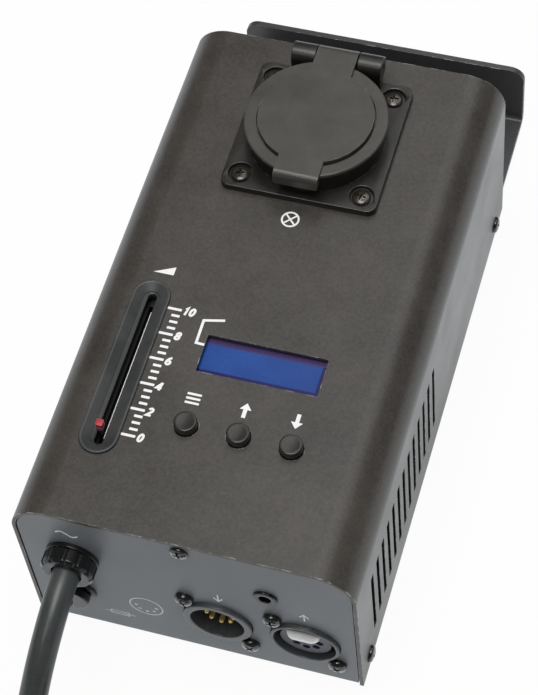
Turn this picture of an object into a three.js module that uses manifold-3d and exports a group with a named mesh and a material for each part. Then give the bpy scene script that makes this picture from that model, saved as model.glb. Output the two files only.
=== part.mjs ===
// A single-channel dimmer pack: a folded sheet-metal cover on a bent chassis, with a
// covered mains outlet, a fader, a display and three buttons on top, the mains lead,
// fuse and control sockets on the front end, and a hanging bracket behind.
// Millimetres. Inside the pack's own frame X is to the right, Y to the rear and Z up,
// with Y = 0 at the cover's front edge and Z = 0 at its lower edge.
import * as THREE from 'three';
import { mergeVertices } from 'three/addons/utils/BufferGeometryUtils.js';
import Module from 'manifold-3d';

const wasm = await Module();
wasm.setup();

// Clearances and cutting
const slipGap = 0.3;
const overrun = 2;
const weldDistance = 0.0001;

// Sheet metal
const sheet = 1.2;
const coverWidth = 104;
const coverHeight = 69;
const coverLength = 183;
const coverBendRadius = 12.5;
const panelRecess = 0.3;
const chassisBendRadius = 2;
const chassisFlangeHeight = 10.5;
const chassisFlangeInset = 4;

// Side vents
const ventCount = 13;
const ventWidth = 2.6;
const ventPitch = 6;
const ventFirstY = 15.5;
const ventBottom = 12;
const ventTop = 45;

// Screws that close the case
const caseScrewHeadRadius = 2.8;
const caseScrewHeadHeight = 1.4;
const caseScrewShankRadius = 1.45;
const caseScrewLength = 6;
const sideScrewFrontInset = 8.7;
const sideScrewRearInset = 11.4;
const sideScrewHeight = 5.9;
const topScrewDrop = 4.8;
const tabWidth = 15;
const tabHeight = 11;
const tabFoot = 9;

// Feet
const footRadius = 6;
const footHeight = 5;
const footHoleRadius = 2.5;
const footInsetX = 12;
const footFrontY = 14;
const footRearInset = 41;
const footBarbRadius = 3;

// Hanging bracket
const bracketSheet = 2;
const bracketInset = 2;
const bracketLeg = 30;
const bracketStandoff = 39;
const bracketRise = 25.5;
const bracketBendRadius = 3.5;
const bracketCorner = 5;
const bracketHoleRadius = 5.5;
const bracketHoleHeight = 11;
const bracketScrewMargin = 14;
const bracketScrewInset = 15;
const bracketScrewHeadRadius = 4;
const bracketScrewHeadHeight = 2.4;
const bracketScrewShankRadius = 1.95;
const bracketScrewLength = 7;

// Mains outlet
const outletSetback = 36;
const outletPlate = 50;
const outletPlateThickness = 2.5;
const outletPlateCorner = 3;
const outletScrewSpacing = 39;
const outletScrewHeadRadius = 2.9;
const outletScrewHeadHeight = 1.3;
const outletScrewLength = 9;
const outletCounterboreRadius = 3.8;
const outletCounterboreDepth = 1.3;
const collarRadius = 21.5;
const collarBore = 19.3;
const collarHeight = 9.5;
const wellDepth = 17.5;
const contactPlateThickness = 6;
const contactHoleRadius = 2.8;
const contactSpacing = 19;
const wellFloorThickness = 2;
const wellFloorBore = 16.8;
const keyRibWidth = 4;
const keyRibDepth = 2;
const earthStrapWidth = 6;
const earthStrapThickness = 0.8;
const earthStrapReach = 18.6;
const earthStrapRise = 3;
const earthBump = 1.3;

// Outlet lid and hinge
const lidRadius = 22.5;
const lidThickness = 1.4;
const lidGap = 0.3;
const lidDiscRadius = 18.2;
const lidDiscRise = 1.3;
const lidPlugRadius = 18.2;
const lidPlugDepth = 1.6;
const lidPlugWall = 1.6;
const lidTabWidth = 14.2;
const lidTabReach = 24.5;
const lidTabDrop = 5;
const lidTabBend = 2.2;
const hingeSetback = 25.5;
const hingeHeight = 8.7;
const barrelRadius = 3.8;
const barrelInner = 6.9;
const barrelOuter = 14.7;
const hingePinRadius = 1;
const springWireRadius = 0.3;
const springCoilRadius = 1.75;
const springTurns = 4;
const springWidth = 5;
const springPocketRadius = 2.4;

// Fader
const faderInset = 19;
const faderTravel = 45;
const faderZeroY = 30.7;
const bezelWidth = 12;
const bezelMargin = 8.4;
const bezelRim = 0.9;
const bezelSkirtWidth = 9.6;
const bezelSkirtDepth = 4.5;
const troughWidth = 5;
const dishDepth = 1.6;
const dishWidth = 10.4;
const potWidth = 9;
const potHeight = 6.9;
const potSlotWidth = 2;
const potSlotDepth = 3;
const potEndMargin = 7.5;
const leverThickness = 1.2;
const leverWidth = 3;
const leverRise = 1.6;
const leverTipSize = 2.5;
const leverTipHeight = 2.6;

// Display
const windowX = 6.5;
const windowY = 63;
const windowWidth = 37.3;
const windowDepth = 12.9;
const paneMargin = 1.9;
const paneThickness = 1;
const paneRecess = 2.2;
const moduleMargin = 3.4;

// Buttons
const buttonFirstX = -9.2;
const buttonPitch = 16;
const buttonY = 37.8;
const buttonRadius = 3.75;
const buttonRise = 3;
const buttonFlangeRadius = 5;
const buttonFlangeThickness = 1;
const buttonStemRadius = 1.6;
const buttonTravel = 0.8;
const buttonEdge = 0.7;
const switchSize = 6.2;
const switchHeight = 3.6;
const plungerRadius = 1.7;
const plungerHeight = 0.9;

// Boards and what they carry
const boardThickness = 1.6;
const controlBoardDrop = 12;
const controlBoardOverhang = 8;
const controlBoardInset = 16;
const controlBoardFront = 22;
const controlBoardRear = 92;
const studRadius = 2;
const studInset = 12;
const powerBoardHeight = 8;
const powerBoardInset = 8;
const powerBoardFront = 34;
const powerBoardRearInset = 28;
const postRadius = 2.6;
const postInset = 4;
const terminalWidth = 26;
const terminalDepth = 11;
const terminalHeight = 13;
const transformerX = 16;
const transformerY = 64;
const coreWidth = 40;
const coreDepth = 14;
const coreHeight = 33;
const windingWidth = 24;
const windingDepth = 28;
const windingHeight = 25;
const chokeX = -22;
const chokeY = 76;
const chokeMeanRadius = 9.5;
const chokeSectionRadius = 4.6;
const heatsinkInset = 60;
const heatsinkWidth = 60;
const heatsinkBase = 4;
const heatsinkFinHeight = 20;
const heatsinkFins = 8;
const heatsinkFinThickness = 1.6;
const heatsinkHeight = 30;
const triacWidth = 10;
const triacDepth = 4.4;
const triacHeight = 15;
const triacStandoff = 6;

// Control sockets on the front panel
const outSocketInset = 17;
const socketPitch = 27.1;
const socketZ = 23.4;
const socketHoleRadius = 11;
const socketShellRadius = 10.7;
const socketShellDepth = 24;
const socketLip = 1.4;
const socketEdge = 0.4;
const socketPlateWidth = 26;
const socketPlateHeight = 31;
const socketPlateThickness = 1.8;
const socketScrewDx = 9.5;
const socketScrewDy = 10.8;
const socketScrewHeadRadius = 2.9;
const socketScrewHeadHeight = 2.4;
const socketScrewLength = 7;
const maleBore = 8.4;
const maleDepth = 13.5;
const pinRadius = 0.8;
const pinCircle = 4.3;
const pinCount = 5;
const pinTipDepth = 1.2;
const femaleBore = 9.6;
const femaleDepth = 15;
const femaleInsertRadius = 7.9;
const femaleInsertDepth = 0.8;
const femaleHoleDepth = 9;
const femaleHoleRadius = 1.05;
const insertFlat = 5.6;
const latchHalfWidth = 5.3;
const latchBottom = 6.2;
const latchThickness = 1.4;
const latchReach = 3.2;
const latchLength = 12;
const latchCorner = 3;
const latchHook = 0.8;
const latchTravel = 1.5;

// Small jack
const jackOffset = 10.6;
const jackZ = 47.6;
const jackNutRadius = 3.7;
const jackNutThickness = 0.9;
const jackBushRadius = 3;
const jackBore = 1.85;
const jackBoreDepth = 9;
const jackBody = 9;
const jackBodyDepth = 11;

// Mains lead and its gland
const glandInset = 17;
const originReach = 6.8;
const glandZ = 45;
const cordRadius = 4.25;
const cordClearance = 0.35;
const glandRadius = 8.2;
const glandFlange = 1.6;
const glandThreadRadius = 6.2;
const glandThreadLength = 13;
const glandCapLength = 5;
const glandCapTaper = 0.9;
const glandCapFlutes = 12;
const glandFluteRadius = 0.9;
const glandSpigotRadius = 6.9;
const glandSpigot = 1.2;
const locknutFlats = 18;
const locknutThickness = 5;

// Fuse holder
const fuseOffset = 3;
const fuseZ = 21.5;
const fuseFlangeRadius = 7;
const fuseFlange = 1.2;
const fuseBodyRadius = 6;
const fuseBodyDepth = 28;
const fuseBoreRadius = 4.6;
const fuseCapRadius = 5.5;
const fuseCapHeight = 2.6;
const fuseCapSkirt = 6;
const fuseSlotWidth = 1.3;
const fuseSlotDepth = 1.2;
const fuseRadius = 2.6;
const fuseLength = 20;
const fuseGrip = 4;

// Coil of the mains lead, lying in front of the pack
const coilDrift = 5;
const coilY = -95;
const coilOuterRadius = 53;
const coilPitch = 9;
const coilTurnsPerLayer = 1.75;
const coilLayerRise = 9.1;
const coilDip = 2;
const coilStepsPerTurn = 24;
const coilSides = 6;
const floorGap = 0.3;

// Mains plug
const plugBootRadius = 5.3;
const plugNeckRadius = 9;
const plugDiscRadius = 19.2;
const plugBootLength = 24;
const plugFlareLength = 17;
const plugDiscLength = 13;
const plugPinRadius = 2.4;
const plugPinLength = 19;
const plugPinSpacing = 19;
const plugBootOffset = 33;
const plugBootY = -174;
const plugTiltDegrees = 12;

// The free stretches of the lead, from the gland to the coil and from the coil to the plug.
// Their x counts from the middle of the gland.
const leadPoints = [
  [0, -4.2, 45],
  [0, -11, 44.6],
  [-0.1, -18.5, 42.6],
  [-0.4, -25.5, 39.2],
  [-0.9, -32, 34.5],
  [-1.5, -38, 28.6],
  [-2.1, -43.5, 22.3],
  [-2.7, -49, 16.1],
  [-3.3, -54.8, 10.5],
  [-3.9, -61.2, 5.8],
  [-4.4, -68, 2.4],
  [-4.8, -75.4, 0.3],
  [-5, -81.5, -0.4],
  [-5, -86.2, -0.45],
];
const tailPoints = [
  [-5, -103.8, 8.65],
  [-5, -111, 8.4],
  [-5, -119, 7],
  [-5, -127, 4.4],
  [-5, -136, 1.2],
  [-4.1, -144.3, -0.2],
  [-1.4, -152.1, -0.45],
  [2.9, -159.2, -0.35],
  [8.6, -165.1, 0.25],
  [15.5, -169.7, 1.45],
  [23.2, -172.7, 3.1],
  [32, -173.9, 5.05],
];

// Heights and places that several pieces share
const outletY = coverLength - outletSetback;
const faderX = faderInset - coverWidth / 2;
const outSocketX = coverWidth / 2 - outSocketInset;
const inSocketX = outSocketX - socketPitch;
const jackX = outSocketX - jackOffset;
const glandX = glandInset - coverWidth / 2;
const fuseX = glandX - fuseOffset;
const coilX = glandX - coilDrift + coilOuterRadius;
const controlBoardLeft = faderX - controlBoardOverhang;
const controlBoardRight = coverWidth / 2 - controlBoardInset;
const powerBoardHalf = coverWidth / 2 - powerBoardInset;
const powerBoardRear = coverLength - powerBoardRearInset;
const heatsinkY = coverLength - heatsinkInset;
const bracketHalfWidth = coverWidth / 2 - bracketInset;
const topZ = coverHeight;
const underTopZ = coverHeight - sheet;
const floorZ = -footHeight;
const panelBack = panelRecess + sheet;
const panelHalfWidth = coverWidth / 2 - sheet - slipGap;
const panelTop = underTopZ - slipGap;
const panelCorner = coverBendRadius - sheet - slipGap;
const topScrewZ = coverHeight - topScrewDrop;
const collarTopZ = topZ + collarHeight;
const contactFaceZ = collarTopZ - wellDepth;
const wellBottomZ = contactFaceZ - contactPlateThickness - wellFloorThickness;
const lidBottomZ = collarTopZ + lidGap;
const lidRimTopZ = lidBottomZ + lidThickness;
const lidTopZ = lidRimTopZ + lidDiscRise;
const hingeY = outletY + hingeSetback;
const hingeZ = topZ + hingeHeight;
const faderMidY = faderZeroY + faderTravel / 2;
const bezelLength = faderTravel + 2 * bezelMargin;
const controlBoardTop = topZ - controlBoardDrop;
const powerBoardTop = powerBoardHeight + boardThickness;
const bracketFaceY = coverLength + bracketStandoff + bracketSheet;
const originY = (bracketFaceY + panelRecess - originReach) / 2;

// Colours and finishes
const finish = (color, roughness, metalness) =>
  new THREE.MeshStandardMaterial({ color, roughness, metalness });
const paint = finish(0x4b4641, 0.5, 0.2);
const chassisPaint = finish(0x5c5f62, 0.5, 0.2);
const blackPlastic = finish(0x232325, 0.5, 0);
const greyPlastic = finish(0x77757c, 0.55, 0);
const paleCeramic = finish(0xcfcac0, 0.6, 0);
const blackSteel = finish(0x2a2a2c, 0.35, 0.8);
const brightSteel = finish(0xb9bbbf, 0.3, 0.9);
const brass = finish(0xc8a45a, 0.3, 0.9);
const gold = finish(0xe3c15e, 0.25, 1);
const rubber = finish(0x1c1c1d, 0.85, 0);
const redPlastic = finish(0xb0303c, 0.5, 0);
const blueWindow = finish(0x2b55a8, 0.25, 0);
const boardGreen = finish(0x2f5a3a, 0.5, 0);
const coreGrey = finish(0x6a6a6c, 0.5, 0.6);
const chokeYellow = finish(0xb88a2e, 0.6, 0);
const glassTube = finish(0xdfe6e4, 0.1, 0);

// Closed surface to solid: shared corners are merged and empty triangles dropped.
function toSolid(geometry) {
  const bare = new THREE.BufferGeometry();
  bare.setAttribute('position', geometry.attributes.position);
  bare.setIndex(geometry.index);
  const merged = mergeVertices(bare, weldDistance);
  const kept = [];
  const corner = merged.index.array;
  for (let i = 0; i < corner.length; i += 3) {
    const [a, b, c] = [corner[i], corner[i + 1], corner[i + 2]];
    if (a !== b && b !== c && c !== a) kept.push(a, b, c);
  }
  return new wasm.Manifold(new wasm.Mesh({
    numProp: 3,
    vertProperties: new Float32Array(merged.attributes.position.array),
    triVerts: new Uint32Array(kept),
  }));
}

function toGeometry(solid) {
  const mesh = solid.getMesh();
  const geometry = new THREE.BufferGeometry();
  geometry.setAttribute('position', new THREE.BufferAttribute(mesh.vertProperties, 3));
  geometry.setIndex(new THREE.BufferAttribute(mesh.triVerts, 1));
  geometry.computeVertexNormals();
  return geometry;
}

// Box between two corners
function block(x0, x1, y0, y1, z0, z1) {
  const box = new THREE.BoxGeometry(x1 - x0, y1 - y0, z1 - z0);
  box.translate((x0 + x1) / 2, (y0 + y1) / 2, (z0 + z1) / 2);
  return toSolid(box);
}

// A drawn outline pushed along an axis. Along x the outline is in (y, z), along y it is
// in (x, z) and along z it is in (x, y).
const unitX = new THREE.Vector3(1, 0, 0);
const unitY = new THREE.Vector3(0, 1, 0);
const unitZ = new THREE.Vector3(0, 0, 1);
function prism(shape, axis, from, to, steps = 4) {
  const depth = to - from;
  const body = new THREE.ExtrudeGeometry(shape, {
    depth, steps: 1, bevelEnabled: false, curveSegments: steps,
  });
  const turn = new THREE.Matrix4();
  if (axis === 'x') {
    turn.makeBasis(unitY, unitZ, unitX).setPosition(from, 0, 0);
  } else if (axis === 'y') {
    turn.makeBasis(unitX, unitZ, unitY.clone().negate()).setPosition(0, to, 0);
  } else {
    turn.setPosition(0, 0, from);
  }
  body.applyMatrix4(turn);
  return toSolid(body);
}

// A profile of [radius, height] points turned about Z
function turned(profile, sides = 24) {
  const points = profile.map(([r, h]) => new THREE.Vector2(r, h));
  const body = new THREE.LatheGeometry(points, sides);
  body.rotateX(Math.PI / 2);
  return toSolid(body);
}

function disc(radius, from, to, sides = 24) {
  return turned([[0, from], [radius, from], [radius, to], [0, to]], sides);
}

function ring(inner, outer, from, to, sides = 24) {
  return turned([[inner, from], [outer, from], [outer, to], [inner, to], [inner, from]], sides);
}

// Outlines
function circle(x, y, radius) {
  const shape = new THREE.Shape();
  shape.absarc(x, y, radius, 0, 2 * Math.PI, false);
  return shape;
}

function rectangle(x0, x1, y0, y1) {
  const shape = new THREE.Shape();
  shape.moveTo(x0, y0);
  shape.lineTo(x1, y0);
  shape.lineTo(x1, y1);
  shape.lineTo(x0, y1);
  shape.closePath();
  return shape;
}

// Rectangle with one radius for its lower corners and one for its upper corners
function roundedRectangle(x0, x1, y0, y1, lower, upper) {
  const shape = new THREE.Shape();
  shape.moveTo(x0 + lower, y0);
  shape.lineTo(x1 - lower, y0);
  if (lower > 0) shape.absarc(x1 - lower, y0 + lower, lower, -Math.PI / 2, 0, false);
  shape.lineTo(x1, y1 - upper);
  if (upper > 0) shape.absarc(x1 - upper, y1 - upper, upper, 0, Math.PI / 2, false);
  shape.lineTo(x0 + upper, y1);
  if (upper > 0) shape.absarc(x0 + upper, y1 - upper, upper, Math.PI / 2, Math.PI, false);
  shape.lineTo(x0, y0 + lower);
  if (lower > 0) shape.absarc(x0 + lower, y0 + lower, lower, Math.PI, 1.5 * Math.PI, false);
  return shape;
}

// Long hole with round ends, its length along the outline's second axis
function obround(x, y, width, length) {
  const r = width / 2;
  const run = length / 2 - r;
  const shape = new THREE.Shape();
  shape.moveTo(x + r, y - run);
  shape.lineTo(x + r, y + run);
  shape.absarc(x, y + run, r, 0, Math.PI, false);
  shape.lineTo(x - r, y - run);
  shape.absarc(x, y - run, r, Math.PI, 2 * Math.PI, false);
  return shape;
}

function joined(solids) {
  return solids.reduce((sum, next) => sum.add(next));
}

function without(body, cuts) {
  return cuts.reduce((rest, cut) => rest.subtract(cut), body);
}

function named(name, solid, material) {
  const mesh = new THREE.Mesh(toGeometry(solid), material);
  mesh.name = name;
  return mesh;
}

// Inverted U in (x, z): outer line up and over, inner line back
function foldedCoverOutline() {
  const half = coverWidth / 2;
  const r = coverBendRadius;
  const inner = r - sheet;
  const shape = new THREE.Shape();
  shape.moveTo(half, 0);
  shape.lineTo(half, topZ - r);
  shape.absarc(half - r, topZ - r, r, 0, Math.PI / 2, false);
  shape.lineTo(r - half, topZ);
  shape.absarc(r - half, topZ - r, r, Math.PI / 2, Math.PI, false);
  shape.lineTo(-half, 0);
  shape.lineTo(sheet - half, 0);
  shape.lineTo(sheet - half, topZ - r);
  shape.absarc(r - half, topZ - r, inner, Math.PI, Math.PI / 2, true);
  shape.lineTo(half - r, underTopZ);
  shape.absarc(half - r, topZ - r, inner, Math.PI / 2, 0, true);
  shape.lineTo(half - sheet, 0);
  return shape;
}

// L-shaped tab under the top sheet that takes the screw in the middle of an end panel
function coverTab(wallY, inward) {
  const near = wallY;
  const far = wallY + inward * sheet;
  const foot = wallY + inward * tabFoot;
  const [low, high] = [Math.min(near, far), Math.max(near, far)];
  const [footLow, footHigh] = [Math.min(near, foot), Math.max(near, foot)];
  const half = tabWidth / 2;
  const wall = block(-half, half, low, high, underTopZ - tabHeight, underTopZ);
  const sole = block(-half, half, footLow, footHigh, underTopZ - sheet, underTopZ + sheet / 2);
  return wall.add(sole);
}

function studPlaces() {
  const left = windowX - studInset;
  const right = controlBoardRight - 2 * studRadius;
  const front = controlBoardFront + 2 * studRadius;
  const rear = controlBoardRear - 2 * studRadius;
  return [[left, front], [right, front], [left, rear], [right, rear]];
}

function sideScrewPlaces() {
  return [sideScrewFrontInset, coverLength - sideScrewRearInset];
}

function makeCover() {
  const shell = prism(foldedCoverOutline(), 'y', 0, coverLength, 5);
  const tabs = [
    coverTab(panelBack, 1),
    coverTab(coverLength - panelBack, -1),
  ];
  const studs = studPlaces().map(([x, y]) =>
    prism(circle(x, y, studRadius), 'z', controlBoardTop, underTopZ + sheet / 2));
  const half = coverWidth / 2;
  const cuts = [
    prism(circle(0, outletY, collarRadius + slipGap), 'z', underTopZ - overrun, topZ + overrun, 14),
    prism(
      obround(faderX, faderMidY, bezelSkirtWidth + 2 * slipGap, bezelLength - bezelWidth
        + bezelSkirtWidth + 2 * slipGap), 'z', underTopZ - overrun, topZ + overrun),
    block(
      windowX - windowWidth / 2, windowX + windowWidth / 2,
      windowY - windowDepth / 2, windowY + windowDepth / 2,
      underTopZ - overrun, topZ + overrun),
  ];
  for (const [x, y] of buttonPlaces()) {
    cuts.push(prism(circle(x, y, buttonRadius + slipGap), 'z',
      underTopZ - overrun, topZ + overrun, 9));
  }
  for (const [x, y] of outletScrewPlaces()) {
    cuts.push(prism(circle(x, y, caseScrewShankRadius + slipGap), 'z',
      underTopZ - overrun, topZ + overrun));
  }
  for (let i = 0; i < ventCount; i += 1) {
    const y = ventFirstY + i * ventPitch;
    cuts.push(block(-half - overrun, half + overrun, y - ventWidth / 2, y + ventWidth / 2,
      ventBottom, ventTop));
  }
  for (const y of sideScrewPlaces()) {
    cuts.push(prism(circle(y, sideScrewHeight, caseScrewShankRadius + slipGap), 'x',
      -half - overrun, half + overrun));
  }
  cuts.push(prism(circle(0, topScrewZ, caseScrewShankRadius + slipGap), 'y',
    -overrun, coverLength + overrun));
  return named('top_cover', without(joined([shell, ...tabs, ...studs]), cuts), paint);
}

// U in (y, z): front panel, base and rear panel bent from one sheet
function chassisOutline() {
  const front = panelRecess;
  const rear = coverLength - panelRecess;
  const r = chassisBendRadius;
  const shape = new THREE.Shape();
  shape.moveTo(front, panelTop);
  shape.lineTo(front, r);
  shape.absarc(front + r, r, r, Math.PI, 1.5 * Math.PI, false);
  shape.lineTo(rear - r, 0);
  shape.absarc(rear - r, r, r, -Math.PI / 2, 0, false);
  shape.lineTo(rear, panelTop);
  shape.lineTo(rear - sheet, panelTop);
  shape.lineTo(rear - sheet, r);
  shape.absarc(rear - r, r, r - sheet, 0, -Math.PI / 2, true);
  shape.lineTo(front + r, sheet);
  shape.absarc(front + r, r, r - sheet, 1.5 * Math.PI, Math.PI, true);
  shape.lineTo(front + sheet, panelTop);
  return shape;
}

function postPlaces() {
  const x = powerBoardHalf - postInset;
  const front = powerBoardFront + postInset;
  const rear = powerBoardRear - postInset;
  return [[-x, front], [x, front], [-x, rear], [x, rear]];
}

function footPlaces() {
  const x = coverWidth / 2 - footInsetX;
  const rear = coverLength - footRearInset;
  return [[-x, footFrontY], [x, footFrontY], [-x, rear], [x, rear]];
}

function bracketScrewPlaces() {
  const x = bracketHalfWidth - bracketScrewMargin;
  const y = coverLength - bracketScrewInset;
  return [[-x, y], [x, y]];
}

function socketScrewPlaces() {
  return [inSocketX, outSocketX].flatMap((x) => [
    [x - socketScrewDx, socketZ + socketScrewDy],
    [x + socketScrewDx, socketZ - socketScrewDy],
  ]);
}

function makeChassis() {
  const half = panelHalfWidth;
  const trough = prism(chassisOutline(), 'x', -half, half);
  const ends = prism(
    roundedRectangle(-half, half, 0, panelTop, chassisBendRadius, panelCorner),
    'y', -overrun, coverLength + overrun, 5);
  const flanges = [-1, 1].map((side) => {
    const outer = side * half;
    const inner = side * (half - sheet);
    return block(Math.min(outer, inner), Math.max(outer, inner),
      chassisFlangeInset, coverLength - chassisFlangeInset, sheet / 2, chassisFlangeHeight);
  });
  const posts = postPlaces().map(([x, y]) =>
    prism(circle(x, y, postRadius), 'z', sheet / 2, powerBoardHeight));
  const drill = (x, z, r, steps = 6) =>
    prism(circle(x, z, r), 'y', -overrun, panelBack + overrun, steps);
  const cuts = [
    drill(inSocketX, socketZ, socketHoleRadius, 12),
    drill(outSocketX, socketZ, socketHoleRadius, 12),
    drill(jackX, jackZ, jackBushRadius + slipGap),
    drill(glandX, glandZ, glandThreadRadius + slipGap, 10),
    drill(fuseX, fuseZ, fuseBodyRadius + slipGap, 10),
    prism(circle(0, topScrewZ, caseScrewShankRadius + slipGap), 'y',
      -overrun, coverLength + overrun),
  ];
  for (const [x, z] of socketScrewPlaces()) {
    cuts.push(drill(x, z, caseScrewShankRadius + slipGap, 4));
  }
  for (const y of sideScrewPlaces()) {
    cuts.push(prism(circle(y, sideScrewHeight, caseScrewShankRadius + slipGap), 'x',
      -half - overrun, half + overrun));
  }
  for (const [x, y] of footPlaces()) {
    cuts.push(prism(circle(x, y, footHoleRadius), 'z', -overrun, sheet + overrun));
  }
  for (const [x, y] of bracketScrewPlaces()) {
    cuts.push(prism(circle(x, y, bracketScrewShankRadius + slipGap), 'z',
      -overrun, sheet + overrun));
  }
  const body = joined([trough, ...flanges]).intersect(ends).add(joined(posts));
  return named('base_chassis', without(body, cuts), chassisPaint);
}

// L in (y, z): leg under the base, upright behind it
function bracketOutline() {
  const front = coverLength - bracketLeg;
  const rear = bracketFaceY;
  const low = -bracketSheet;
  const r = bracketBendRadius;
  const shape = new THREE.Shape();
  shape.moveTo(front, low);
  shape.lineTo(rear - r, low);
  shape.absarc(rear - r, low + r, r, -Math.PI / 2, 0, false);
  shape.lineTo(rear, bracketRise);
  shape.lineTo(rear - bracketSheet, bracketRise);
  shape.lineTo(rear - bracketSheet, low + r);
  shape.absarc(rear - r, low + r, r - bracketSheet, 0, -Math.PI / 2, true);
  shape.lineTo(front, 0);
  return shape;
}

function makeBracket() {
  const half = bracketHalfWidth;
  const corner = bracketCorner;
  const folded = prism(bracketOutline(), 'x', -half, half);
  const back = prism(roundedRectangle(-half, half, -bracketSheet, bracketRise, 0, corner),
    'y', coverLength - bracketLeg - overrun, bracketFaceY + overrun, 4);
  const plan = prism(
    roundedRectangle(-half, half, coverLength - bracketLeg, bracketFaceY, corner, 0),
    'z', -bracketSheet - overrun, bracketRise + overrun, 4);
  const cuts = [
    prism(circle(0, bracketHoleHeight, bracketHoleRadius), 'y',
      bracketFaceY - bracketSheet - overrun, bracketFaceY + overrun, 10),
  ];
  for (const [x, y] of bracketScrewPlaces()) {
    cuts.push(prism(circle(x, y, bracketScrewShankRadius + slipGap), 'z',
      -bracketSheet - overrun, overrun));
  }
  return named('hanging_bracket', without(folded.intersect(back).intersect(plan), cuts), paint);
}

// Pan-head screw pointing down Z, its head's seat at Z = 0
function panScrew(name, headRadius, headHeight, shankRadius, length, material) {
  const shoulderShare = 0.45;
  const crownShare = 0.72;
  return named(name, turned([
    [0, -length],
    [shankRadius, -length],
    [shankRadius, 0],
    [headRadius, 0],
    [headRadius, headHeight * shoulderShare],
    [headRadius * crownShare, headHeight * (1 + crownShare) / 2],
    [0, headHeight],
  ], 12), material);
}

function caseScrew(name) {
  return panScrew(name, caseScrewHeadRadius, caseScrewHeadHeight,
    caseScrewShankRadius, caseScrewLength, blackSteel);
}

function makeCaseScrews() {
  const screws = [];
  const half = coverWidth / 2;
  const ends = ['front', 'rear'];
  sideScrewPlaces().forEach((y, i) => {
    for (const [side, word] of [[-1, 'left'], [1, 'right']]) {
      const screw = caseScrew(`side_screw_${ends[i]}_${word}`);
      screw.position.set(side * half, y, sideScrewHeight);
      screw.rotation.y = side * Math.PI / 2;
      screws.push(screw);
    }
  });
  const front = caseScrew('top_screw_front');
  front.position.set(0, panelRecess, topScrewZ);
  front.rotation.x = Math.PI / 2;
  const rear = caseScrew('top_screw_rear');
  rear.position.set(0, coverLength - panelRecess, topScrewZ);
  rear.rotation.x = -Math.PI / 2;
  return [...screws, front, rear];
}

// Rubber foot pushed into a hole in the base, held by a barb
function makeFoot(name) {
  const stem = footHoleRadius - slipGap;
  const tread = footRadius - 2 * slipGap;
  const barbTop = sheet + 2 * (footBarbRadius - stem) + slipGap;
  return named(name, turned([
    [0, floorZ],
    [tread, floorZ],
    [footRadius, floorZ + slipGap],
    [footRadius, -slipGap],
    [tread, 0],
    [stem, 0],
    [stem, sheet + slipGap],
    [footBarbRadius, sheet + slipGap],
    [stem, barbTop],
    [0, barbTop],
  ], 16), rubber);
}

function makeFeet() {
  const words = ['front_left', 'front_right', 'rear_left', 'rear_right'];
  return footPlaces().map(([x, y], i) => {
    const foot = makeFoot(`foot_${words[i]}`);
    foot.position.set(x, y, 0);
    return foot;
  });
}

function makeBracketScrews() {
  return bracketScrewPlaces().map(([x, y], i) => {
    const screw = panScrew(`bracket_screw_${['left', 'right'][i]}`, bracketScrewHeadRadius,
      bracketScrewHeadHeight, bracketScrewShankRadius, bracketScrewLength, blackSteel);
    screw.position.set(x, y, -bracketSheet);
    screw.rotation.x = Math.PI;
    return screw;
  });
}

function outletScrewPlaces() {
  const reach = outletScrewSpacing / 2;
  return [
    [-reach, outletY - reach], [reach, outletY - reach],
    [-reach, outletY + reach], [reach, outletY + reach],
  ];
}

// Plate, collar and well of the outlet with the two hinge barrels
function makeOutletHousing() {
  const half = outletPlate / 2;
  const plate = prism(
    roundedRectangle(-half, half, outletY - half, outletY + half,
      outletPlateCorner, outletPlateCorner),
    'z', topZ, topZ + outletPlateThickness, 3);
  const cupRadius = collarRadius;
  const cup = ring(collarBore, cupRadius, wellBottomZ, collarTopZ, 32)
    .add(ring(wellFloorBore, collarBore + slipGap, wellBottomZ,
      wellBottomZ + wellFloorThickness, 32))
    .translate([0, outletY, 0]);
  const ribs = [-1, 1].map((side) => {
    const tip = side * (collarBore - keyRibDepth);
    const root = side * (collarBore + slipGap);
    return block(Math.min(tip, root), Math.max(tip, root), outletY - keyRibWidth / 2,
      outletY + keyRibWidth / 2, contactFaceZ, collarTopZ - keyRibDepth);
  });
  const lugs = [-1, 1].flatMap((side) => {
    const inner = Math.min(side * barrelInner, side * barrelOuter);
    const outer = Math.max(side * barrelInner, side * barrelOuter);
    return [
      prism(circle(hingeY, hingeZ, barrelRadius), 'x', inner, outer, 9),
      block(inner, outer, hingeY - barrelRadius, outletY + half,
        topZ + outletPlateThickness / 2, hingeZ),
    ];
  });
  const cuts = [
    prism(circle(hingeY, hingeZ, hingePinRadius + slipGap), 'x',
      -barrelOuter - overrun, barrelOuter + overrun, 5),
    block(-earthStrapWidth / 2 - slipGap, earthStrapWidth / 2 + slipGap,
      outletY - collarBore + slipGap, outletY + collarBore - slipGap,
      wellBottomZ - overrun, wellBottomZ + wellFloorThickness + overrun),
  ];
  for (const [x, y] of outletScrewPlaces()) {
    cuts.push(prism(circle(x, y, outletCounterboreRadius), 'z',
      topZ + outletPlateThickness - outletCounterboreDepth,
      topZ + outletPlateThickness + overrun, 8));
    cuts.push(prism(circle(x, y, caseScrewShankRadius + slipGap), 'z',
      topZ - overrun, topZ + outletPlateThickness));
  }
  // The well stays open: the plate is pierced before the cup goes in.
  const pierced = plate.subtract(
    disc(collarBore + slipGap, topZ - overrun, topZ + outletPlateThickness + overrun, 32)
      .translate([0, outletY, 0]));
  return named('outlet_housing', without(joined([pierced, cup, ...ribs, ...lugs]), cuts),
    blackPlastic);
}

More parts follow.
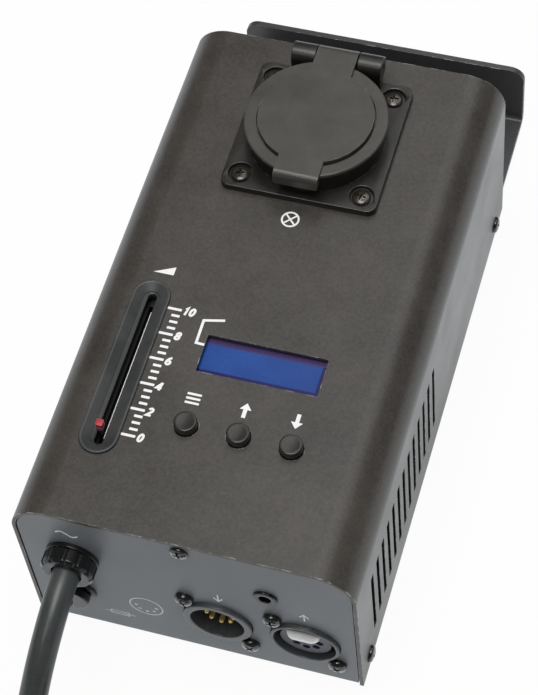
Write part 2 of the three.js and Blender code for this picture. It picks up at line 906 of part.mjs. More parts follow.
function makeContactPlate() {
  const radius = collarBore - slipGap;
  const cuts = [-1, 1].map((side) =>
    disc(contactHoleRadius, -contactPlateThickness - overrun, overrun, 16)
      .translate([side * contactSpacing / 2, 0, 0]));
  const reach = earthStrapReach - earthStrapThickness - 2 * slipGap;
  for (const side of [-1, 1]) {
    const inner = side * reach;
    const outer = side * (radius + overrun);
    cuts.push(block(-earthStrapWidth / 2 - slipGap, earthStrapWidth / 2 + slipGap,
      Math.min(inner, outer), Math.max(inner, outer), -contactPlateThickness - overrun, overrun));
  }
  const plate = disc(radius, slipGap / 2 - contactPlateThickness, 0, 32);
  const mesh = named('contact_plate', without(plate, cuts), paleCeramic);
  mesh.position.set(0, outletY, contactFaceZ);
  return mesh;
}

// Earth strap in (y, z): a bar under the contact plate with a sprung finger at each end
function makeEarthStrap() {
  const t = earthStrapThickness;
  const out = earthStrapReach;
  const low = wellBottomZ - slipGap - t;
  const top = collarTopZ - wellDepth + earthStrapRise + earthBump + 2 * slipGap;
  const bend = (top + contactFaceZ) / 2;
  const shape = new THREE.Shape();
  shape.moveTo(-out, low);
  shape.lineTo(out, low);
  shape.lineTo(out, contactFaceZ);
  shape.lineTo(out - earthBump, bend);
  shape.lineTo(out, top);
  shape.lineTo(out - t, top);
  shape.lineTo(out - t - earthBump, bend);
  shape.lineTo(out - t, contactFaceZ);
  shape.lineTo(out - t, low + t);
  shape.lineTo(t - out, low + t);
  shape.lineTo(t - out, contactFaceZ);
  shape.lineTo(t - out + earthBump, bend);
  shape.lineTo(t - out, top);
  shape.lineTo(-out, top);
  shape.lineTo(earthBump - out, bend);
  shape.lineTo(-out, contactFaceZ);
  const strap = prism(shape, 'x', -earthStrapWidth / 2, earthStrapWidth / 2);
  const mesh = named('earth_strap', strap, brass);
  mesh.position.set(0, outletY, 0);
  return mesh;
}

// Lid: thin rim, raised disc, tongue to the hinge and a finger tab with a turned-down lip
function makeLid() {
  const tongueHalf = barrelInner - slipGap;
  const rim = disc(lidRadius, lidBottomZ, lidRimTopZ, 40).translate([0, outletY, 0]);
  const edge = lidDiscRise / 2;
  const raised = turned([
    [0, lidBottomZ + lidThickness / 2],
    [lidDiscRadius, lidBottomZ + lidThickness / 2],
    [lidDiscRadius, lidTopZ - edge],
    [lidDiscRadius - edge, lidTopZ],
    [0, lidTopZ],
  ], 36).translate([0, outletY, 0]);
  const seal = ring(lidPlugRadius - lidPlugWall, lidPlugRadius, lidBottomZ - lidPlugDepth,
    lidBottomZ + lidThickness / 2, 32).translate([0, outletY, 0]);
  const tongue = new THREE.Shape();
  tongue.moveTo(outletY, lidRimTopZ);
  tongue.lineTo(outletY, lidTopZ);
  tongue.lineTo(hingeY, lidTopZ);
  tongue.lineTo(hingeY, hingeZ + barrelRadius);
  tongue.absarc(hingeY, hingeZ, barrelRadius, Math.PI / 2, -Math.PI, true);
  tongue.lineTo(hingeY - barrelRadius, lidBottomZ);
  tongue.lineTo(outletY, lidBottomZ);
  const arm = prism(tongue, 'x', -tongueHalf, tongueHalf, 6);
  const lipY = outletY - lidTabReach;
  const b = lidTabBend;
  const lip = new THREE.Shape();
  lip.moveTo(outletY, lidBottomZ);
  lip.lineTo(outletY, lidTopZ);
  lip.lineTo(lipY + b, lidTopZ);
  lip.absarc(lipY + b, lidTopZ - b, b, Math.PI / 2, Math.PI, false);
  lip.lineTo(lipY, lidTopZ - lidTabDrop);
  lip.lineTo(lipY + lidThickness, lidTopZ - lidTabDrop);
  lip.lineTo(lipY + lidThickness, lidBottomZ);
  const tab = prism(lip, 'x', -lidTabWidth / 2, lidTabWidth / 2, 4);
  const hollow = disc(lidPlugRadius - lidPlugWall, lidBottomZ - lidPlugDepth - overrun,
    lidBottomZ, 32).translate([0, outletY, 0]);
  const flatY = hingeY - barrelRadius - 2 * slipGap;
  const beside = [-1, 1].map((side) => {
    const inner = side * tongueHalf;
    const outer = side * (lidRadius + overrun);
    return block(Math.min(inner, outer), Math.max(inner, outer), flatY, hingeY + lidRadius,
      lidBottomZ - lidPlugDepth, lidTopZ + overrun);
  });
  const pocketHalf = springWidth / 2 + slipGap;
  const cuts = [
    hollow,
    ...beside,
    prism(circle(hingeY, hingeZ, hingePinRadius + slipGap), 'x',
      -barrelOuter, barrelOuter, 5),
    prism(circle(hingeY, hingeZ, springPocketRadius), 'x', -pocketHalf, pocketHalf, 8),
    block(-pocketHalf, pocketHalf, hingeY - barrelRadius - overrun, hingeY + barrelRadius + overrun,
      hingeZ - barrelRadius - overrun, hingeZ),
  ];
  return named('outlet_lid', without(joined([rim, raised, seal, arm, tab]), cuts), blackPlastic);
}

function makeHingePin() {
  const reach = barrelOuter - slipGap;
  const pin = prism(circle(0, 0, hingePinRadius), 'x', -reach, reach, 5);
  const mesh = named('lid_hinge_pin', pin, brightSteel);
  mesh.position.set(0, hingeY, hingeZ);
  return mesh;
}

// Round tube through points: ring i has its centre at points[i] and lies across the path
function sweptTube(points, radius, sides) {
  const position = [];
  const index = [];
  const count = points.length;
  const side = new THREE.Vector3();
  const lift = new THREE.Vector3();
  for (let i = 0; i < count; i += 1) {
    const before = points[Math.max(i - 1, 0)];
    const after = points[Math.min(i + 1, count - 1)];
    const tangent = after.clone().sub(before).normalize();
    const guide = Math.abs(tangent.z) < 0.9 ? unitZ : unitY;
    side.crossVectors(guide, tangent).normalize();
    lift.crossVectors(tangent, side);
    for (let k = 0; k < sides; k += 1) {
      const angle = 2 * Math.PI * (k + 0.5) / sides;
      const point = points[i].clone()
        .addScaledVector(side, radius * Math.cos(angle))
        .addScaledVector(lift, radius * Math.sin(angle));
      position.push(point.x, point.y, point.z);
    }
  }
  for (let i = 0; i + 1 < count; i += 1) {
    for (let k = 0; k < sides; k += 1) {
      const a = i * sides + k;
      const b = i * sides + (k + 1) % sides;
      index.push(a, b, b + sides, a, b + sides, a + sides);
    }
  }
  const last = (count - 1) * sides;
  for (let k = 1; k + 1 < sides; k += 1) {
    index.push(0, k + 1, k, last, last + k, last + k + 1);
  }
  const geometry = new THREE.BufferGeometry();
  geometry.setAttribute('position', new THREE.Float32BufferAttribute(position, 3));
  geometry.setIndex(index);
  return toSolid(geometry);
}

// Torsion spring on the hinge pin, one leg pressing forward on the collar
function makeLidSpring() {
  const points = [];
  const perTurn = 8;
  const steps = perTurn * springTurns;
  for (let i = 0; i <= steps; i += 1) {
    const angle = -Math.PI / 2 + 2 * Math.PI * i / perTurn;
    const run = (i / steps - 1 / 2) * (springWidth - 2 * springWireRadius);
    points.push(new THREE.Vector3(run, springCoilRadius * Math.cos(angle),
      springCoilRadius * Math.sin(angle)));
  }
  console.log(`spring: least gap ${leastGap(points, springWireRadius, perTurn / 2).toFixed(2)} mm`);
  const legEnd = points[0].clone();
  legEnd.y = -(hingeSetback - collarRadius - springWireRadius - slipGap);
  points.unshift(legEnd);
  const mesh = named('lid_spring', sweptTube(points, springWireRadius, 5), brightSteel);
  mesh.position.set(0, hingeY, hingeZ);
  return mesh;
}

function makeOutletScrews() {
  const words = ['front_left', 'front_right', 'rear_left', 'rear_right'];
  return outletScrewPlaces().map(([x, y], i) => {
    const screw = panScrew(`outlet_screw_${words[i]}`, outletScrewHeadRadius,
      outletScrewHeadHeight, caseScrewShankRadius, outletScrewLength, blackSteel);
    screw.position.set(x, y, topZ + outletPlateThickness - outletCounterboreDepth);
    return screw;
  });
}

// Fader bezel: long rim on the cover, skirt through it, dished trough down to the track
function makeFaderBezel() {
  const skirtLength = bezelLength - bezelWidth + bezelSkirtWidth;
  const troughLength = bezelLength - bezelWidth + troughWidth;
  const slope = (dishWidth - troughWidth) / 2;
  const rimEdge = bezelRim / 2;
  const rim = new THREE.ExtrudeGeometry(
    obround(0, 0, bezelWidth - 2 * rimEdge, bezelLength - 2 * rimEdge),
    { depth: rimEdge, bevelEnabled: true, bevelThickness: rimEdge, bevelSize: rimEdge,
      bevelSegments: 1, curveSegments: 8 });
  const dish = new THREE.ExtrudeGeometry(
    obround(0, 0, troughWidth, troughLength),
    { depth: overrun, bevelEnabled: true, bevelThickness: dishDepth, bevelSize: slope,
      bevelSegments: 1, curveSegments: 8 });
  rim.translate(0, 0, 0);
  dish.translate(0, 0, bezelRim);
  const head = toSolid(rim).subtract(
    block(-bezelWidth, bezelWidth, -bezelLength, bezelLength, -bezelRim - overrun, 0));
  const skirt = prism(obround(0, 0, bezelSkirtWidth, skirtLength), 'z',
    -bezelSkirtDepth, rimEdge, 8);
  const opening = prism(obround(0, 0, troughWidth, troughLength), 'z',
    -bezelSkirtDepth - overrun, overrun, 8);
  const mesh = named('fader_bezel', without(head.add(skirt), [opening, toSolid(dish)]),
    blackPlastic);
  mesh.position.set(faderX, faderMidY, topZ);
  return mesh;
}

function makeSlidePotentiometer() {
  const half = potWidth / 2;
  const reach = faderTravel / 2 + potEndMargin;
  const slotReach = faderTravel / 2 + leverWidth / 2 + 2 * slipGap;
  const can = block(-half, half, -reach, reach, 0, potHeight);
  const slot = block(-potSlotWidth / 2, potSlotWidth / 2, -slotReach, slotReach,
    potHeight - potSlotDepth, potHeight + overrun);
  const mesh = named('slide_potentiometer', can.subtract(slot), brightSteel);
  mesh.position.set(faderX, faderMidY, controlBoardTop);
  return mesh;
}

// Lever blade standing in the potentiometer's slot, and the red cap pressed on it
function makeFaderLever() {
  const foot = controlBoardTop + potHeight - potSlotDepth + 2 * slipGap;
  const blade = block(-leverThickness / 2, leverThickness / 2, -leverWidth / 2, leverWidth / 2,
    foot, topZ + leverRise);
  const mesh = named('fader_lever', blade, greyPlastic);
  mesh.position.set(faderX, faderZeroY, 0);
  return mesh;
}

function makeFaderTip() {
  const half = leverTipSize / 2;
  const edge = leverTipSize / 8;
  const tip = new THREE.ExtrudeGeometry(
    rectangle(edge - half, half - edge, edge - half, half - edge),
    { depth: leverTipHeight - 2 * edge, bevelEnabled: true, bevelThickness: edge,
      bevelSize: edge, bevelSegments: 1 });
  tip.translate(0, 0, edge);
  const mesh = named('fader_tip', toSolid(tip), redPlastic);
  mesh.position.set(faderX, faderZeroY, topZ + leverRise);
  return mesh;
}

function makeDisplayWindow() {
  const x = windowWidth / 2 + paneMargin;
  const y = windowDepth / 2 + paneMargin;
  const mesh = named('display_window', block(-x, x, -y, y, -paneThickness, 0), blueWindow);
  mesh.position.set(windowX, windowY, topZ - paneRecess);
  return mesh;
}

// Display module on the control board, with a rim that frames the pane
function makeDisplayModule() {
  const x = windowWidth / 2 + moduleMargin;
  const y = windowDepth / 2 + moduleMargin;
  const ledge = topZ - paneRecess - paneThickness;
  const paneX = windowWidth / 2 + paneMargin + slipGap;
  const paneY = windowDepth / 2 + paneMargin + slipGap;
  const body = block(-x, x, -y, y, controlBoardTop, underTopZ - slipGap);
  const pocket = block(-paneX, paneX, -paneY, paneY, ledge, topZ);
  const mesh = named('display_module', body.subtract(pocket), blackPlastic);
  mesh.position.set(windowX, windowY, 0);
  return mesh;
}

function buttonPlaces() {
  return [0, 1, 2].map((i) => [buttonFirstX + i * buttonPitch, buttonY]);
}

function makeButtons() {
  const words = ['menu', 'up', 'down'];
  const flangeTop = underTopZ - slipGap;
  const flangeLow = flangeTop - buttonFlangeThickness;
  const stemLow = controlBoardTop + switchHeight + plungerHeight + buttonTravel + slipGap;
  const top = topZ + buttonRise;
  return buttonPlaces().map(([x, y], i) => {
    const button = named(`button_${words[i]}`, turned([
      [0, stemLow],
      [buttonStemRadius, stemLow],
      [buttonStemRadius, flangeLow],
      [buttonFlangeRadius, flangeLow],
      [buttonFlangeRadius, flangeTop],
      [buttonRadius, flangeTop],
      [buttonRadius, top - buttonEdge],
      [buttonRadius - buttonEdge / 3, top - buttonEdge / 3],
      [buttonRadius - buttonEdge, top],
      [0, top - buttonEdge / 3],
    ], 24), blackPlastic);
    button.position.set(x, y, 0);
    return button;
  });
}

// Control board with its three soldered switches
function makeControlBoard() {
  const board = block(controlBoardLeft, controlBoardRight, controlBoardFront, controlBoardRear,
    controlBoardTop - boardThickness, controlBoardTop);
  const half = switchSize / 2;
  const switches = buttonPlaces().flatMap(([x, y]) => [
    block(x - half, x + half, y - half, y + half, controlBoardTop - boardThickness / 2,
      controlBoardTop + switchHeight),
    prism(circle(x, y, plungerRadius), 'z', controlBoardTop,
      controlBoardTop + switchHeight + plungerHeight),
  ]);
  return named('control_board', joined([board, ...switches]), boardGreen);
}

// Power board with its soldered three-way terminal block
function makePowerBoard() {
  const board = block(-powerBoardHalf, powerBoardHalf, powerBoardFront, powerBoardRear,
    powerBoardHeight, powerBoardTop);
  const left = -powerBoardHalf + 2 * postInset;
  const front = powerBoardFront + postInset;
  const body = block(left, left + terminalWidth, front, front + terminalDepth,
    powerBoardHeight + boardThickness / 2, powerBoardTop + terminalHeight);
  const ways = 3;
  const pitch = terminalWidth / ways;
  const cuts = [];
  for (let i = 0; i < ways; i += 1) {
    const x = left + (i + 1 / 2) * pitch;
    cuts.push(prism(circle(x, front + terminalDepth / 2, pitch / 4), 'z',
      powerBoardTop + terminalHeight / 2, powerBoardTop + terminalHeight + overrun, 5));
    cuts.push(block(x - pitch / 4, x + pitch / 4, front - overrun, front + terminalDepth / 3,
      powerBoardTop + terminalHeight / 6, powerBoardTop + terminalHeight / 2.5));
  }
  return named('power_board', without(board.add(body), cuts), boardGreen);
}

function makeTransformer() {
  const core = block(-coreWidth / 2, coreWidth / 2, -coreDepth / 2, coreDepth / 2, 0, coreHeight);
  const low = (coreHeight - windingHeight) / 2;
  const winding = prism(
    roundedRectangle(-windingWidth / 2, windingWidth / 2, -windingDepth / 2, windingDepth / 2,
      windingWidth / 5, windingWidth / 5), 'z', low, low + windingHeight, 3);
  const mesh = named('transformer', core.add(winding), coreGrey);
  mesh.position.set(transformerX, transformerY, powerBoardTop);
  return mesh;
}

// Suppression choke: a toroid lying on the board
function makeChoke() {
  const profile = [];
  const sides = 10;
  for (let i = 0; i <= sides; i += 1) {
    const angle = 2 * Math.PI * i / sides;
    profile.push([
      chokeMeanRadius + chokeSectionRadius * Math.cos(angle),
      chokeSectionRadius * (1 + Math.sin(angle)),
    ]);
  }
  const mesh = named('choke', turned(profile, 18), chokeYellow);
  mesh.position.set(chokeX, chokeY, powerBoardTop + slipGap);
  return mesh;
}

function makeHeatsink() {
  const half = heatsinkWidth / 2;
  const pieces = [block(-half, half, 0, heatsinkBase, 0, heatsinkHeight)];
  const pitch = (heatsinkWidth - heatsinkFinThickness) / (heatsinkFins - 1);
  for (let i = 0; i < heatsinkFins; i += 1) {
    const x = -half + i * pitch;
    pieces.push(block(x, x + heatsinkFinThickness, heatsinkBase / 2,
      heatsinkBase + heatsinkFinHeight, 0, heatsinkHeight));
  }
  const mesh = named('heatsink', joined(pieces), brightSteel);
  mesh.position.set(0, heatsinkY, powerBoardTop);
  return mesh;
}

// Triac bolted flat on the heatsink's front, its three legs down into the board
function makeTriac() {
  const half = triacWidth / 2;
  const tab = triacDepth / 3;
  const bodyShare = 0.6;
  const holeShare = 0.8;
  const body = block(-half, half, -triacDepth, 0, triacStandoff,
    triacStandoff + triacHeight * bodyShare);
  const plate = block(-half, half, -tab, 0, triacStandoff, triacStandoff + triacHeight);
  const legs = [-1, 0, 1].map((i) =>
    block(i * half / 2 - tab / 3, i * half / 2 + tab / 3, -triacDepth / 2 - tab / 3,
      -triacDepth / 2 + tab / 3, 0, triacStandoff + tab));
  const hole = prism(circle(0, triacStandoff + triacHeight * holeShare, half / 3), 'y',
    -triacDepth, overrun, 5);
  const mesh = named('triac', joined([body, plate, ...legs]).subtract(hole), blackPlastic);
  mesh.position.set(0, heatsinkY, powerBoardTop);
  return mesh;
}

// Socket shell in the panel's frame: mounting plate behind the panel, round body through it
function socketShell(bore, depth, closeBore) {
  const plateTop = -sheet;
  const plateLow = plateTop - socketPlateThickness;
  const x = socketPlateWidth / 2;
  const y = socketPlateHeight / 2;
  const plate = prism(roundedRectangle(-x, x, -y, y, socketEdge * 5, socketEdge * 5), 'z',
    plateLow, plateTop, 2);
  const barrel = turned([
    [0, -socketShellDepth],
    [socketShellRadius, -socketShellDepth],
    [socketShellRadius, socketLip - socketEdge],
    [socketShellRadius - socketEdge, socketLip],
    [0, socketLip],
  ], 32);
  const cuts = [
    disc(bore, -depth, socketLip + overrun, 28),
    disc(closeBore, -socketShellDepth - overrun, -depth + overrun, 28),
    disc(caseScrewShankRadius + slipGap, plateLow - overrun, plateTop + overrun, 8)
      .translate([-socketScrewDx, socketScrewDy, 0]),
    disc(caseScrewShankRadius + slipGap, plateLow - overrun, plateTop + overrun, 8)
      .translate([socketScrewDx, -socketScrewDy, 0]),
  ];
  return without(plate.add(barrel), cuts);
}

function pinPlaces() {
  return Array.from({ length: pinCount }, (_, i) => {
    const angle = Math.PI + Math.PI * i / (pinCount - 1);
    return [pinCircle * Math.cos(angle), pinCircle * Math.sin(angle)];
  });
}

function makeInSocket() {
  const shell = named('in_socket_shell', socketShell(maleBore, maleDepth, maleBore), blackSteel);
  const core = disc(maleBore - slipGap, slipGap - socketShellDepth, -maleDepth, 28);
  const pins = pinPlaces().map(([x, y]) => turned([
    [0, -socketShellDepth - 3 * pinRadius],
    [pinRadius, -socketShellDepth - 3 * pinRadius],
    [pinRadius, -pinTipDepth - pinRadius],
    [pinRadius / 2, -pinTipDepth],
    [0, -pinTipDepth],
  ], 8).translate([x, y, 0]));
  const contacts = named('in_socket_contacts', joined([core, ...pins]), gold);
  for (const mesh of [shell, contacts]) mesh.position.set(inSocketX, socketZ, 0);
  return [shell, contacts];
}

function makeOutSocket() {
  const latchRoom = latchHalfWidth + 2 * slipGap;
  const notch = block(-latchRoom, latchRoom, latchBottom - slipGap,
    latchBottom + latchThickness + slipGap, -femaleDepth, socketLip + overrun);
  const shell = named('out_socket_shell',
    socketShell(femaleBore, femaleDepth, femaleInsertRadius + slipGap).subtract(notch),
    blackSteel);
  const body = disc(femaleInsertRadius, slipGap - socketShellDepth, -femaleInsertDepth, 28);
  const holes = pinPlaces().map(([x, y]) =>
    disc(femaleHoleRadius, -femaleInsertDepth - femaleHoleDepth, overrun, 8)
      .translate([x, y, 0]));
  const flat = block(-femaleInsertRadius, femaleInsertRadius, insertFlat,
    femaleInsertRadius + overrun, -femaleDepth, overrun);
  const insert = named('out_socket_insert', without(body, [flat, ...holes]), greyPlastic);
  const tongue = prism(
    roundedRectangle(-latchHalfWidth, latchHalfWidth, -latchLength, latchReach, 0, latchCorner),
    'y', latchBottom, latchBottom + latchThickness, 4);
  const hook = block(-latchHalfWidth / 2, latchHalfWidth / 2,
    latchBottom + latchThickness / 2, latchBottom + latchThickness + latchHook,
    -latchLength, 2 * latchThickness - latchLength);
  const latch = named('out_socket_latch', tongue.add(hook), brightSteel);
  const meshes = [shell, insert, latch];
  for (const mesh of meshes) mesh.position.set(outSocketX, socketZ, 0);
  return meshes;
}

function makeSocketScrews() {
  const words = ['in_upper', 'in_lower', 'out_upper', 'out_lower'];
  return socketScrewPlaces().map(([x, z], i) => {
    const screw = panScrew(`socket_screw_${words[i]}`, socketScrewHeadRadius,
      socketScrewHeadHeight, caseScrewShankRadius, socketScrewLength, blackSteel);
    screw.position.set(x, z, 0);
    return screw;
  });
}

function makeJack() {
  const half = jackBody / 2;
  const nut = disc(jackNutRadius, 0, jackNutThickness, 18);
  const bush = disc(jackBushRadius, -sheet - jackBushRadius / 2, jackNutThickness / 2, 18);
  const body = block(-half, half, -half, half, -sheet - jackBodyDepth, -sheet);
  const bore = disc(jackBore, -jackBoreDepth, jackNutThickness + overrun, 12);
  const mesh = named('small_jack', joined([nut, bush, body]).subtract(bore), blackPlastic);
  mesh.position.set(jackX, jackZ, 0);
  return mesh;
}

function makeGland() {
  const bore = cordRadius + cordClearance;
  const body = named('gland_body', turned([
    [bore, -glandThreadLength],
    [glandThreadRadius, -glandThreadLength],
    [glandThreadRadius, 0],
    [glandRadius, 0],
    [glandRadius, glandFlange],
    [glandSpigotRadius, glandFlange],
    [glandSpigotRadius, glandFlange + glandSpigot],
    [bore, glandFlange + glandSpigot],
    [bore, -glandThreadLength],
  ], 24), blackPlastic);
  const low = glandFlange;
  const high = glandFlange + glandCapLength;
  const room = glandFlange + glandSpigot + slipGap;
  let cap = turned([
    [glandSpigotRadius + slipGap, low],
    [glandRadius, low],
    [glandRadius, high - glandCapTaper],
    [glandRadius - glandCapTaper, high],
    [bore, high],
    [bore, room],
    [glandSpigotRadius + slipGap, room],
    [glandSpigotRadius + slipGap, low],
  ], 24);
  for (let i = 0; i < glandCapFlutes; i += 1) {
    const angle = 2 * Math.PI * i / glandCapFlutes;
    const reach = glandRadius + glandFluteRadius / 2;
    cap = cap.subtract(disc(glandFluteRadius, low - overrun, high + overrun, 6)
      .translate([reach * Math.cos(angle), reach * Math.sin(angle), 0]));
  }
  const locknutRadius = locknutFlats / Math.sqrt(3);
  const meshes = [body, named('gland_cap', cap, blackPlastic),
    named('gland_locknut', hexNut(glandThreadRadius + slipGap, locknutRadius,
      -sheet - locknutThickness, -sheet), blackPlastic)];
  for (const mesh of meshes) mesh.position.set(glandX, glandZ, 0);
  return meshes;
}

function hexNut(bore, cornerRadius, from, to) {
  return disc(cornerRadius, from, to, 6).subtract(disc(bore, from - overrun, to + overrun, 20));
}

function makeFuse() {
  const holder = turned([
    [0, -fuseBodyDepth],
    [fuseBodyRadius, -fuseBodyDepth],
    [fuseBodyRadius, 0],
    [fuseFlangeRadius, 0],
    [fuseFlangeRadius, fuseFlange / 2],
    [fuseFlangeRadius - fuseFlange / 2, fuseFlange],
    [0, fuseFlange],
  ], 24).subtract(disc(fuseBoreRadius, sheet - fuseBodyDepth, fuseFlange + overrun, 20));
  const seat = fuseFlange + slipGap;
  const skirt = fuseBoreRadius - slipGap;
  const gripEnd = -fuseCapSkirt;
  const fuseFront = gripEnd + fuseGrip;
  const edgeShare = 0.3;
  let cap = turned([
    [0, gripEnd],
    [skirt, gripEnd],
    [skirt, seat],
    [fuseCapRadius, seat],
    [fuseCapRadius, seat + fuseCapHeight * (1 - edgeShare)],
    [fuseCapRadius - fuseCapHeight * edgeShare, seat + fuseCapHeight],
    [0, seat + fuseCapHeight],
  ], 20);
  cap = cap.subtract(disc(fuseRadius + slipGap, gripEnd - overrun, fuseFront + slipGap, 16));
  cap = cap.subtract(block(-fuseSlotWidth / 2, fuseSlotWidth / 2, -fuseCapRadius, fuseCapRadius,
    seat + fuseCapHeight - fuseSlotDepth, seat + fuseCapHeight + overrun));
  const fuse = disc(fuseRadius, fuseFront - fuseLength, fuseFront, 14);
  const meshes = [
    named('fuse_holder', holder, blackPlastic),
    named('fuse_cap', cap, blackPlastic),
    named('fuse', fuse, glassTube),
  ];
  for (const mesh of meshes) mesh.position.set(fuseX, fuseZ, 0);
  return meshes;
}

// A free stretch of the lead as a tube along its route
function leadTube(name, route) {
  const curve = new THREE.CatmullRomCurve3(
    route.map(([x, y, z]) => new THREE.Vector3(glandX + x, y, z)), false, 'centripetal');
  const section = circle(0, 0, cordRadius);
  const body = new THREE.ExtrudeGeometry(section, {
    steps: 2 * (route.length - 1), bevelEnabled: false, curveSegments: 5, extrudePath: curve,
  });
  return named(name, toSolid(body), rubber);
}

// The coil spirals in on the floor, climbs a layer in half a turn and spirals out on top
function coilPoints() {
  const points = [];
  const layerAngle = 2 * Math.PI * coilTurnsPerLayer;
  const climbAngle = Math.PI;
  const total = 2 * layerAngle + climbAngle;
  const steps = Math.round(coilStepsPerTurn * total / (2 * Math.PI));
  const inner = coilOuterRadius - coilPitch * coilTurnsPerLayer;
  const low = floorZ + cordRadius + floorGap;
  for (let i = 0; i <= steps; i += 1) {
    const angle = total * i / steps;
    let radius = coilOuterRadius - coilPitch * angle / (2 * Math.PI);
    let height = low;
    if (angle > layerAngle + climbAngle) {
      radius = inner + coilPitch * (angle - layerAngle - climbAngle) / (2 * Math.PI);
      height = low + coilLayerRise;
    } else if (angle > layerAngle) {
      const share = (angle - layerAngle) / climbAngle;
      radius = inner - coilDip * Math.sin(Math.PI * share);
      height = low + coilLayerRise * (1 - Math.cos(Math.PI * share)) / 2;
    }
    points.push(new THREE.Vector3(
      coilX - radius * Math.cos(angle), coilY - radius * Math.sin(angle), height));
  }
  const first = points[0].clone();
  const last = points[steps].clone();
  first.y += 2 * cordRadius;
  last.y -= 2 * cordRadius;
  return [first, ...points, last];
}

// Least clear distance between stretches of a tube that are some steps apart or more
function leastGap(points, radius, stepsApart) {
  let least = Infinity;
  for (let i = 0; i < points.length; i += 1) {
    for (let k = i + stepsApart; k < points.length; k += 1) {
      least = Math.min(least, points[i].distanceTo(points[k]) - 2 * radius);
    }
  }
  return least;
}

function pathLength(points) {
  return points.slice(1).reduce((sum, point, i) => sum + point.distanceTo(points[i]), 0);
}

function makeCoil() {
  const points = coilPoints();
  const gap = leastGap(points, cordRadius, coilStepsPerTurn / 2);
  console.log(`coil: least gap ${gap.toFixed(2)} mm, length ${pathLength(points).toFixed(0)} mm`);
  return named('cord_coil', sweptTube(points, cordRadius, coilSides), rubber);
}

// Moulded plug lying on the rim of its disc, its boot held up by the lead
function makePlug() {
  const flareEnd = plugBootLength + plugFlareLength;
  const face = flareEnd + plugDiscLength;
  const shoulderShare = 0.8;
  const body = turned([
    [0, 0],
    [plugBootRadius, 0],
    [plugNeckRadius, plugBootLength],
    [plugDiscRadius * shoulderShare, flareEnd - plugFlareLength / 3],
    [plugDiscRadius, flareEnd],
    [plugDiscRadius, face],
    [0, face],
  ], 28);
  const pins = [-1, 1].map((side) => turned([
    [0, face - plugPinRadius],
    [plugPinRadius, face - plugPinRadius],
    [plugPinRadius, face + plugPinLength - plugPinRadius],
    [plugPinRadius / 2, face + plugPinLength],
    [0, face + plugPinLength],
  ], 10).translate([0, side * plugPinSpacing / 2, 0]));
  const groove = [-1, 1].map((side) => {
    const inner = side * (plugDiscRadius - keyRibDepth);
    const outer = side * (plugDiscRadius + overrun);
    return block(-keyRibWidth / 2, keyRibWidth / 2, Math.min(inner, outer),
      Math.max(inner, outer), flareEnd, face + overrun);
  });
  const mesh = named('plug', without(joined([body, ...pins]), groove), rubber);
  const tilt = THREE.MathUtils.degToRad(plugTiltDegrees);
  mesh.rotation.y = Math.PI / 2 - tilt;
  mesh.position.set(glandX + plugBootOffset, plugBootY,
    floorZ + plugDiscRadius * Math.cos(tilt) - flareEnd * Math.sin(tilt));
  return mesh;
}

const pack = new THREE.Group();
const frontPanel = new THREE.Group();
frontPanel.position.set(0, panelRecess, 0);
frontPanel.rotation.x = Math.PI / 2;

pack.add(makeCover(), makeChassis(), makeBracket());
pack.add(...makeCaseScrews(), ...makeFeet(), ...makeBracketScrews());
pack.add(makeOutletHousing(), makeContactPlate(), makeEarthStrap());
pack.add(makeLid(), makeHingePin(), makeLidSpring(), ...makeOutletScrews());
pack.add(makeFaderBezel(), makeSlidePotentiometer(), makeFaderLever(), makeFaderTip());
pack.add(makeDisplayWindow(), makeDisplayModule(), ...makeButtons());
pack.add(makeControlBoard(), makePowerBoard());
pack.add(makeTransformer(), makeChoke(), makeHeatsink(), makeTriac());
frontPanel.add(...makeInSocket(), ...makeOutSocket(), ...makeSocketScrews());
frontPanel.add(makeJack(), ...makeGland(), ...makeFuse());
pack.add(frontPanel);
pack.add(leadTube('cord_lead', leadPoints), makeCoil(), leadTube('cord_tail', tailPoints));
pack.add(makePlug());

pack.position.set(0, -originY, footHeight);
const model = new THREE.Group();
model.add(pack);

export default model;
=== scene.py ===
import math
from functools import cache
import bmesh
import bpy
import numpy as np
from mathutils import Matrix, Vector
from mathutils.geometry import delaunay_2d_cdt


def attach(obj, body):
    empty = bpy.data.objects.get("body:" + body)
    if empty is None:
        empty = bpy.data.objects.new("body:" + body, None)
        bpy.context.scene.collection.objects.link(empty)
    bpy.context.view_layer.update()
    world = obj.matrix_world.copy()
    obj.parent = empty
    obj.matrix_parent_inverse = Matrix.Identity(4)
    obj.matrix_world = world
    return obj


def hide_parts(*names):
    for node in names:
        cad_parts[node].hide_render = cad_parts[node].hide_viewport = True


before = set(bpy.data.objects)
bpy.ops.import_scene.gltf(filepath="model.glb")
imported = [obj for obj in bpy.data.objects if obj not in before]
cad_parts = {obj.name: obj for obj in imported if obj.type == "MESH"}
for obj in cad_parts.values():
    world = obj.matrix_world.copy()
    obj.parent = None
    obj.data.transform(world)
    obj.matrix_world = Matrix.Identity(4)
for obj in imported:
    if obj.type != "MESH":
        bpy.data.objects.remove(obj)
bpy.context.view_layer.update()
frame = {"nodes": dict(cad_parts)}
nodes = frame["nodes"]
print("frame loaded:", len(nodes), "nodes")

# Everything below is in millimetres in the pack's own frame: x to the right, y to the rear
# from the cover's front edge, z up from the cover's lower edge. toRow puts it in metres.
packShift = np.array([0.0, -108.75, 5.0])


def toRow(points):
    return (np.asarray(points, float) + packShift) * 0.001


def newObject(name, data):
    obj = bpy.data.objects.new(name, data)
    bpy.context.scene.collection.objects.link(obj)
    return obj


cameraLook = {"place": (0.14358, -0.36414, 0.63223), "turn": (32.03835, 4.064, 16.3875), "lens": 115.3356}


